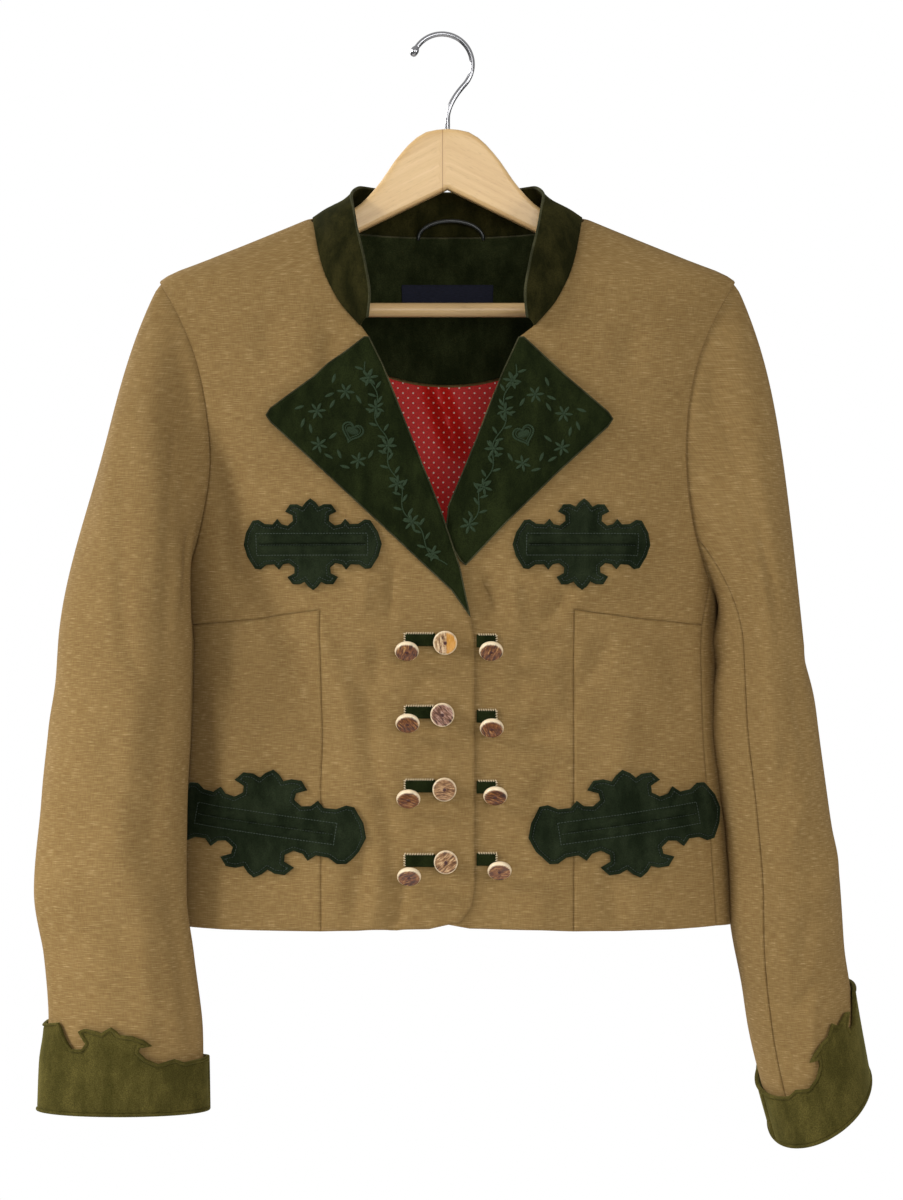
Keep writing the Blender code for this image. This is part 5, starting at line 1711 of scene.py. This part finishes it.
def make_buttons():
    """Horn slices: a turned disc with a slightly dished face. Those beside the edge hang face down."""
    profile = np.array(BUTTON_PROFILE)
    radius, height = profile[:, 0] * BUTTON_RADIUS, profile[:, 1] * BUTTON_THICK
    count = 40
    turn = np.linspace(0, 2 * math.pi, count, endpoint=False)
    rings = np.stack(
        [radius[:, None] * np.cos(turn), radius[:, None] * np.sin(turn), height[:, None] + 0 * turn], axis=-1
    )
    quads, fans = ring_faces(len(radius), count)
    faces = quads.tolist() + fans.tolist()
    disc = np.concatenate([rings.reshape(-1, 3), [(0, 0, 0), (0, 0, BUTTON_THICK)]])
    seed = 0
    for column, drops in BUTTON_DROPS.items():
        sign = 1 if column == "left" else -1
        form = left_front if column == "left" else body
        for number, drop in enumerate(drops):
            seed += 1
            seat = form(*on_front(np.array([(sign * BUTTON_X[column][number], drop)])).T)[0]
            tilt = math.radians(BUTTON_TILT[column])
            reach = BUTTON_RADIUS * math.sin(tilt) + TAB_THICK + 2 * LAYER_GAP
            x, y, z = disc.T
            placed = np.stack([x, *turned_pair(y, z, math.radians(90) + tilt)], axis=1)
            placed = placed + seat - (0, reach, 0)
            own = np.stack([*turned_pair(x, y, (seed - 1) * BUTTON_SPIN), np.full_like(x, seed)], axis=1)
            name = f"button_{column}_{number + 1}"
            add_object(f"{name}_horn", placed, faces, "horn", [name], place=own)


# Hanger


def round_edge(away):
    """A quarter circle round the wood's edges."""
    inside = np.clip(WOOD_ROUNDING - away, 0, WOOD_ROUNDING)
    return -(WOOD_ROUNDING - np.sqrt(WOOD_ROUNDING**2 - inside**2))


def make_hanger():
    """The flat wooden arms, the round bar and the wire hook."""
    half = np.array(HANGER_HALF, float)
    parts = (half[:8], half[7:12], half[11:18], half[17:])
    smoothed = [through(part, 3 * len(part))[:-1] for part in parts] + [half[-1:]]
    half = np.concatenate(smoothed)
    outline = np.concatenate([half[:-1], half[:0:-1] * (-1, 1)])

    def flat_form(x, drop):
        """The hanger's middle plane."""
        return np.stack([x, 0 * x, -drop], axis=-1)

    def along_arms(flat):
        """The grain runs down each arm, and each arm has its own part of it."""
        along, across = turned_pair(np.abs(flat[:, 0]), flat[:, 1], -math.radians(GRAIN_LEAN))
        return np.stack([along, across + GRAIN_APART * (flat[:, 0] > JOINT_X - BODY_X)], axis=1)

    side = HANGER_THICK / 2
    kept = {"step": 5.0, "edge": round_edge, "rings": WOOD_RINGS, "both": True, "cloth": along_arms}
    panel("wooden_hanger", outline, flat_form, -side, side, "beech", "beech", ["hanger_wood"], **kept)
    bar = np.stack([np.linspace(-BAR_HALF, BAR_HALF, 60), np.zeros(60), np.full(60, -BAR_DROP)], axis=1)
    tube("wooden_bar", bar, BAR_RADIUS, "beech_bar", ["hanger_bar"], sides=28)
    middle = HOOK_RADIUS - WIRE
    bend = np.radians(np.linspace(HOOK_FROM, HOOK_TO, 80))
    arc = np.stack([HOOK_RADIUS * np.cos(bend), 0 * bend, -middle + HOOK_RADIUS * np.sin(bend)], axis=1)
    foot = HANGER_HALF[0][1] + STEM_IN_WOOD
    t = np.linspace(0, 1, 30)[1:, None]
    ways = np.array([(math.sin(bend[-1]), 0, -math.cos(bend[-1])), (0, 0, -1)]) * HOOK_EASE
    ends = np.array([arc[-1], (STEM_X, 0, -STEM_TOP)])
    ease = hermite(t, ends[0], ways[0], ends[1], ways[1])
    route = np.concatenate([arc, ease, [(STEM_X, 0, -foot)]])
    at = lengths(route)
    knob = KNOB_HIGH * np.sqrt(np.clip(1 - ((at - KNOB_AT) / KNOB_HALF) ** 2, 0, 1))
    tube("wire_hook", route, WIRE + knob, "steel", ["hanger_hook"], sides=20, shift=0.0)


# Sheets of cloth


def declare_sheets():
    """Lists every sheet with how it is held, what it rests on and the small pieces sewn to it; the list is
    not used further.
    """
    wood = ["wooden_hanger"]
    rows = [
        ("back_cloth", "hung", wood, []),
        ("stand_collar", "folded", ["back_cloth"], ["collar_edge"]),
        ("facing", "laid", ["back_cloth"], ["facing_edge", "loop"]),
        ("lining", "hung", ["back_cloth"], []),
        ("neck_label", "laid", ["facing"], []),
    ]
    for side in ("left", "right"):
        front = [f"front_{side}_cloth"]
        tabs = [f"tab_{side}_{number}_velvet" for number in (1, 2, 3, 4)] + [f"tab_stitches_{side}"]
        lapel_parts = [f"{side}_lapel_embroidery", f"{side}_lapel_edge"]
        rows += [
            (f"front_{side}_cloth", "hung", wood, tabs),
            (f"side_front_{side}_cloth", "hung", front, []),
            (f"side_panel_{side}_cloth", "hung", ["back_cloth"], []),
            (f"top_sleeve_{side}_cloth", "hung", wood, []),
            (f"under_sleeve_{side}_cloth", "hung", [f"top_sleeve_{side}_cloth"], []),
            (f"{side}_cuff", "folded", [f"top_sleeve_{side}_cloth"], []),
            (f"{side}_lapel", "folded", front, lapel_parts),
        ]
        for height in POCKETS:
            node_name = f"pocket_{height}_{side}"
            rows.append((f"{node_name}_applique", "laid", front, [f"{node_name}_stitches"]))


# Stage


def make_stage():
    """A pale floor well below the jacket."""
    mesh = bpy.data.meshes.new("floor")
    corners = [(x * FLOOR_HALF, y * FLOOR_HALF, FLOOR_Z) for x, y in ((-1, -1), (1, -1), (1, 1), (-1, 1))]
    mesh.from_pydata(corners, [], [(0, 1, 2, 3)])
    floor = bpy.data.objects.new("floor", mesh)
    mesh.materials.append(new_material("pale floor", (0.9, 0.9, 0.9), 0.9)[0])
    bpy.context.collection.objects.link(floor)


def add_light(name, place, size, energy, target, spread):
    """A rectangular light that faces its target, with its spread in degrees."""
    light = bpy.data.lights.new(name, "AREA")
    light.spread = math.radians(spread)
    light.shape = "RECTANGLE"
    light.size, light.size_y = size
    light.energy = energy
    obj = bpy.data.objects.new(name, light)
    obj.location = place
    obj.rotation_euler = (Vector(target) - Vector(place)).to_track_quat("-Z", "Y").to_euler()
    bpy.context.collection.objects.link(obj)


def make_world():
    """White where the camera sees it. The light from it is softer below than above."""
    world = bpy.data.worlds.new("studio")
    world.use_nodes = True
    tree = world.node_tree
    tree.nodes.clear()
    way = node(tree, "SeparateXYZ", {"Vector": tree.nodes.new("ShaderNodeTexCoord").outputs["Generated"]})
    height = way.node.outputs["Z"]
    share = sums(tree, "MULTIPLY_ADD", height, 0.5, 0.5)
    stops = (
        (0.3, (0.16, 0.16, 0.165)),
        (0.5, (0.3, 0.3, 0.3)),
        (0.62, (0.62, 0.62, 0.62)),
        (0.9, (0.8, 0.8, 0.8)),
    )
    lit = node(tree, "Background", {"Color": ramp(tree, share, *stops), "Strength": AMBIENT})
    seen = node(tree, "Background", {"Color": (1.0, 1.0, 1.0, 1.0), "Strength": 1.0})
    which = tree.nodes.new("ShaderNodeLightPath").outputs["Is Camera Ray"]
    mix = tree.nodes.new("ShaderNodeMixShader")
    tree.links.new(which, mix.inputs[0])
    tree.links.new(lit, mix.inputs[1])
    tree.links.new(seen, mix.inputs[2])
    out = tree.nodes.new("ShaderNodeOutputWorld")
    tree.links.new(mix.outputs[0], out.inputs["Surface"])
    return world


def make_light_and_camera():
    """The lights, and a camera level with the jacket's middle."""
    scene = bpy.context.scene
    scene.world = make_world()
    scene.view_settings.view_transform = "Standard"
    for row in LIGHTS:
        add_light(*row)
    lens = bpy.data.cameras.new("camera")
    lens.lens = LENS
    lens.sensor_fit = "VERTICAL"
    lens.sensor_height = SENSOR
    camera = bpy.data.objects.new("camera", lens)
    camera.location = CAMERA_AT
    camera.rotation_euler = (math.radians(90), 0, 0)
    bpy.context.collection.objects.link(camera)
    scene.camera = camera


make_body()
make_inside()
make_collar()
make_lapels()
make_sleeves()
make_cuffs()
make_pockets()
make_tabs()
make_buttons()
make_hanger()
declare_sheets()
make_stage()
make_light_and_camera()
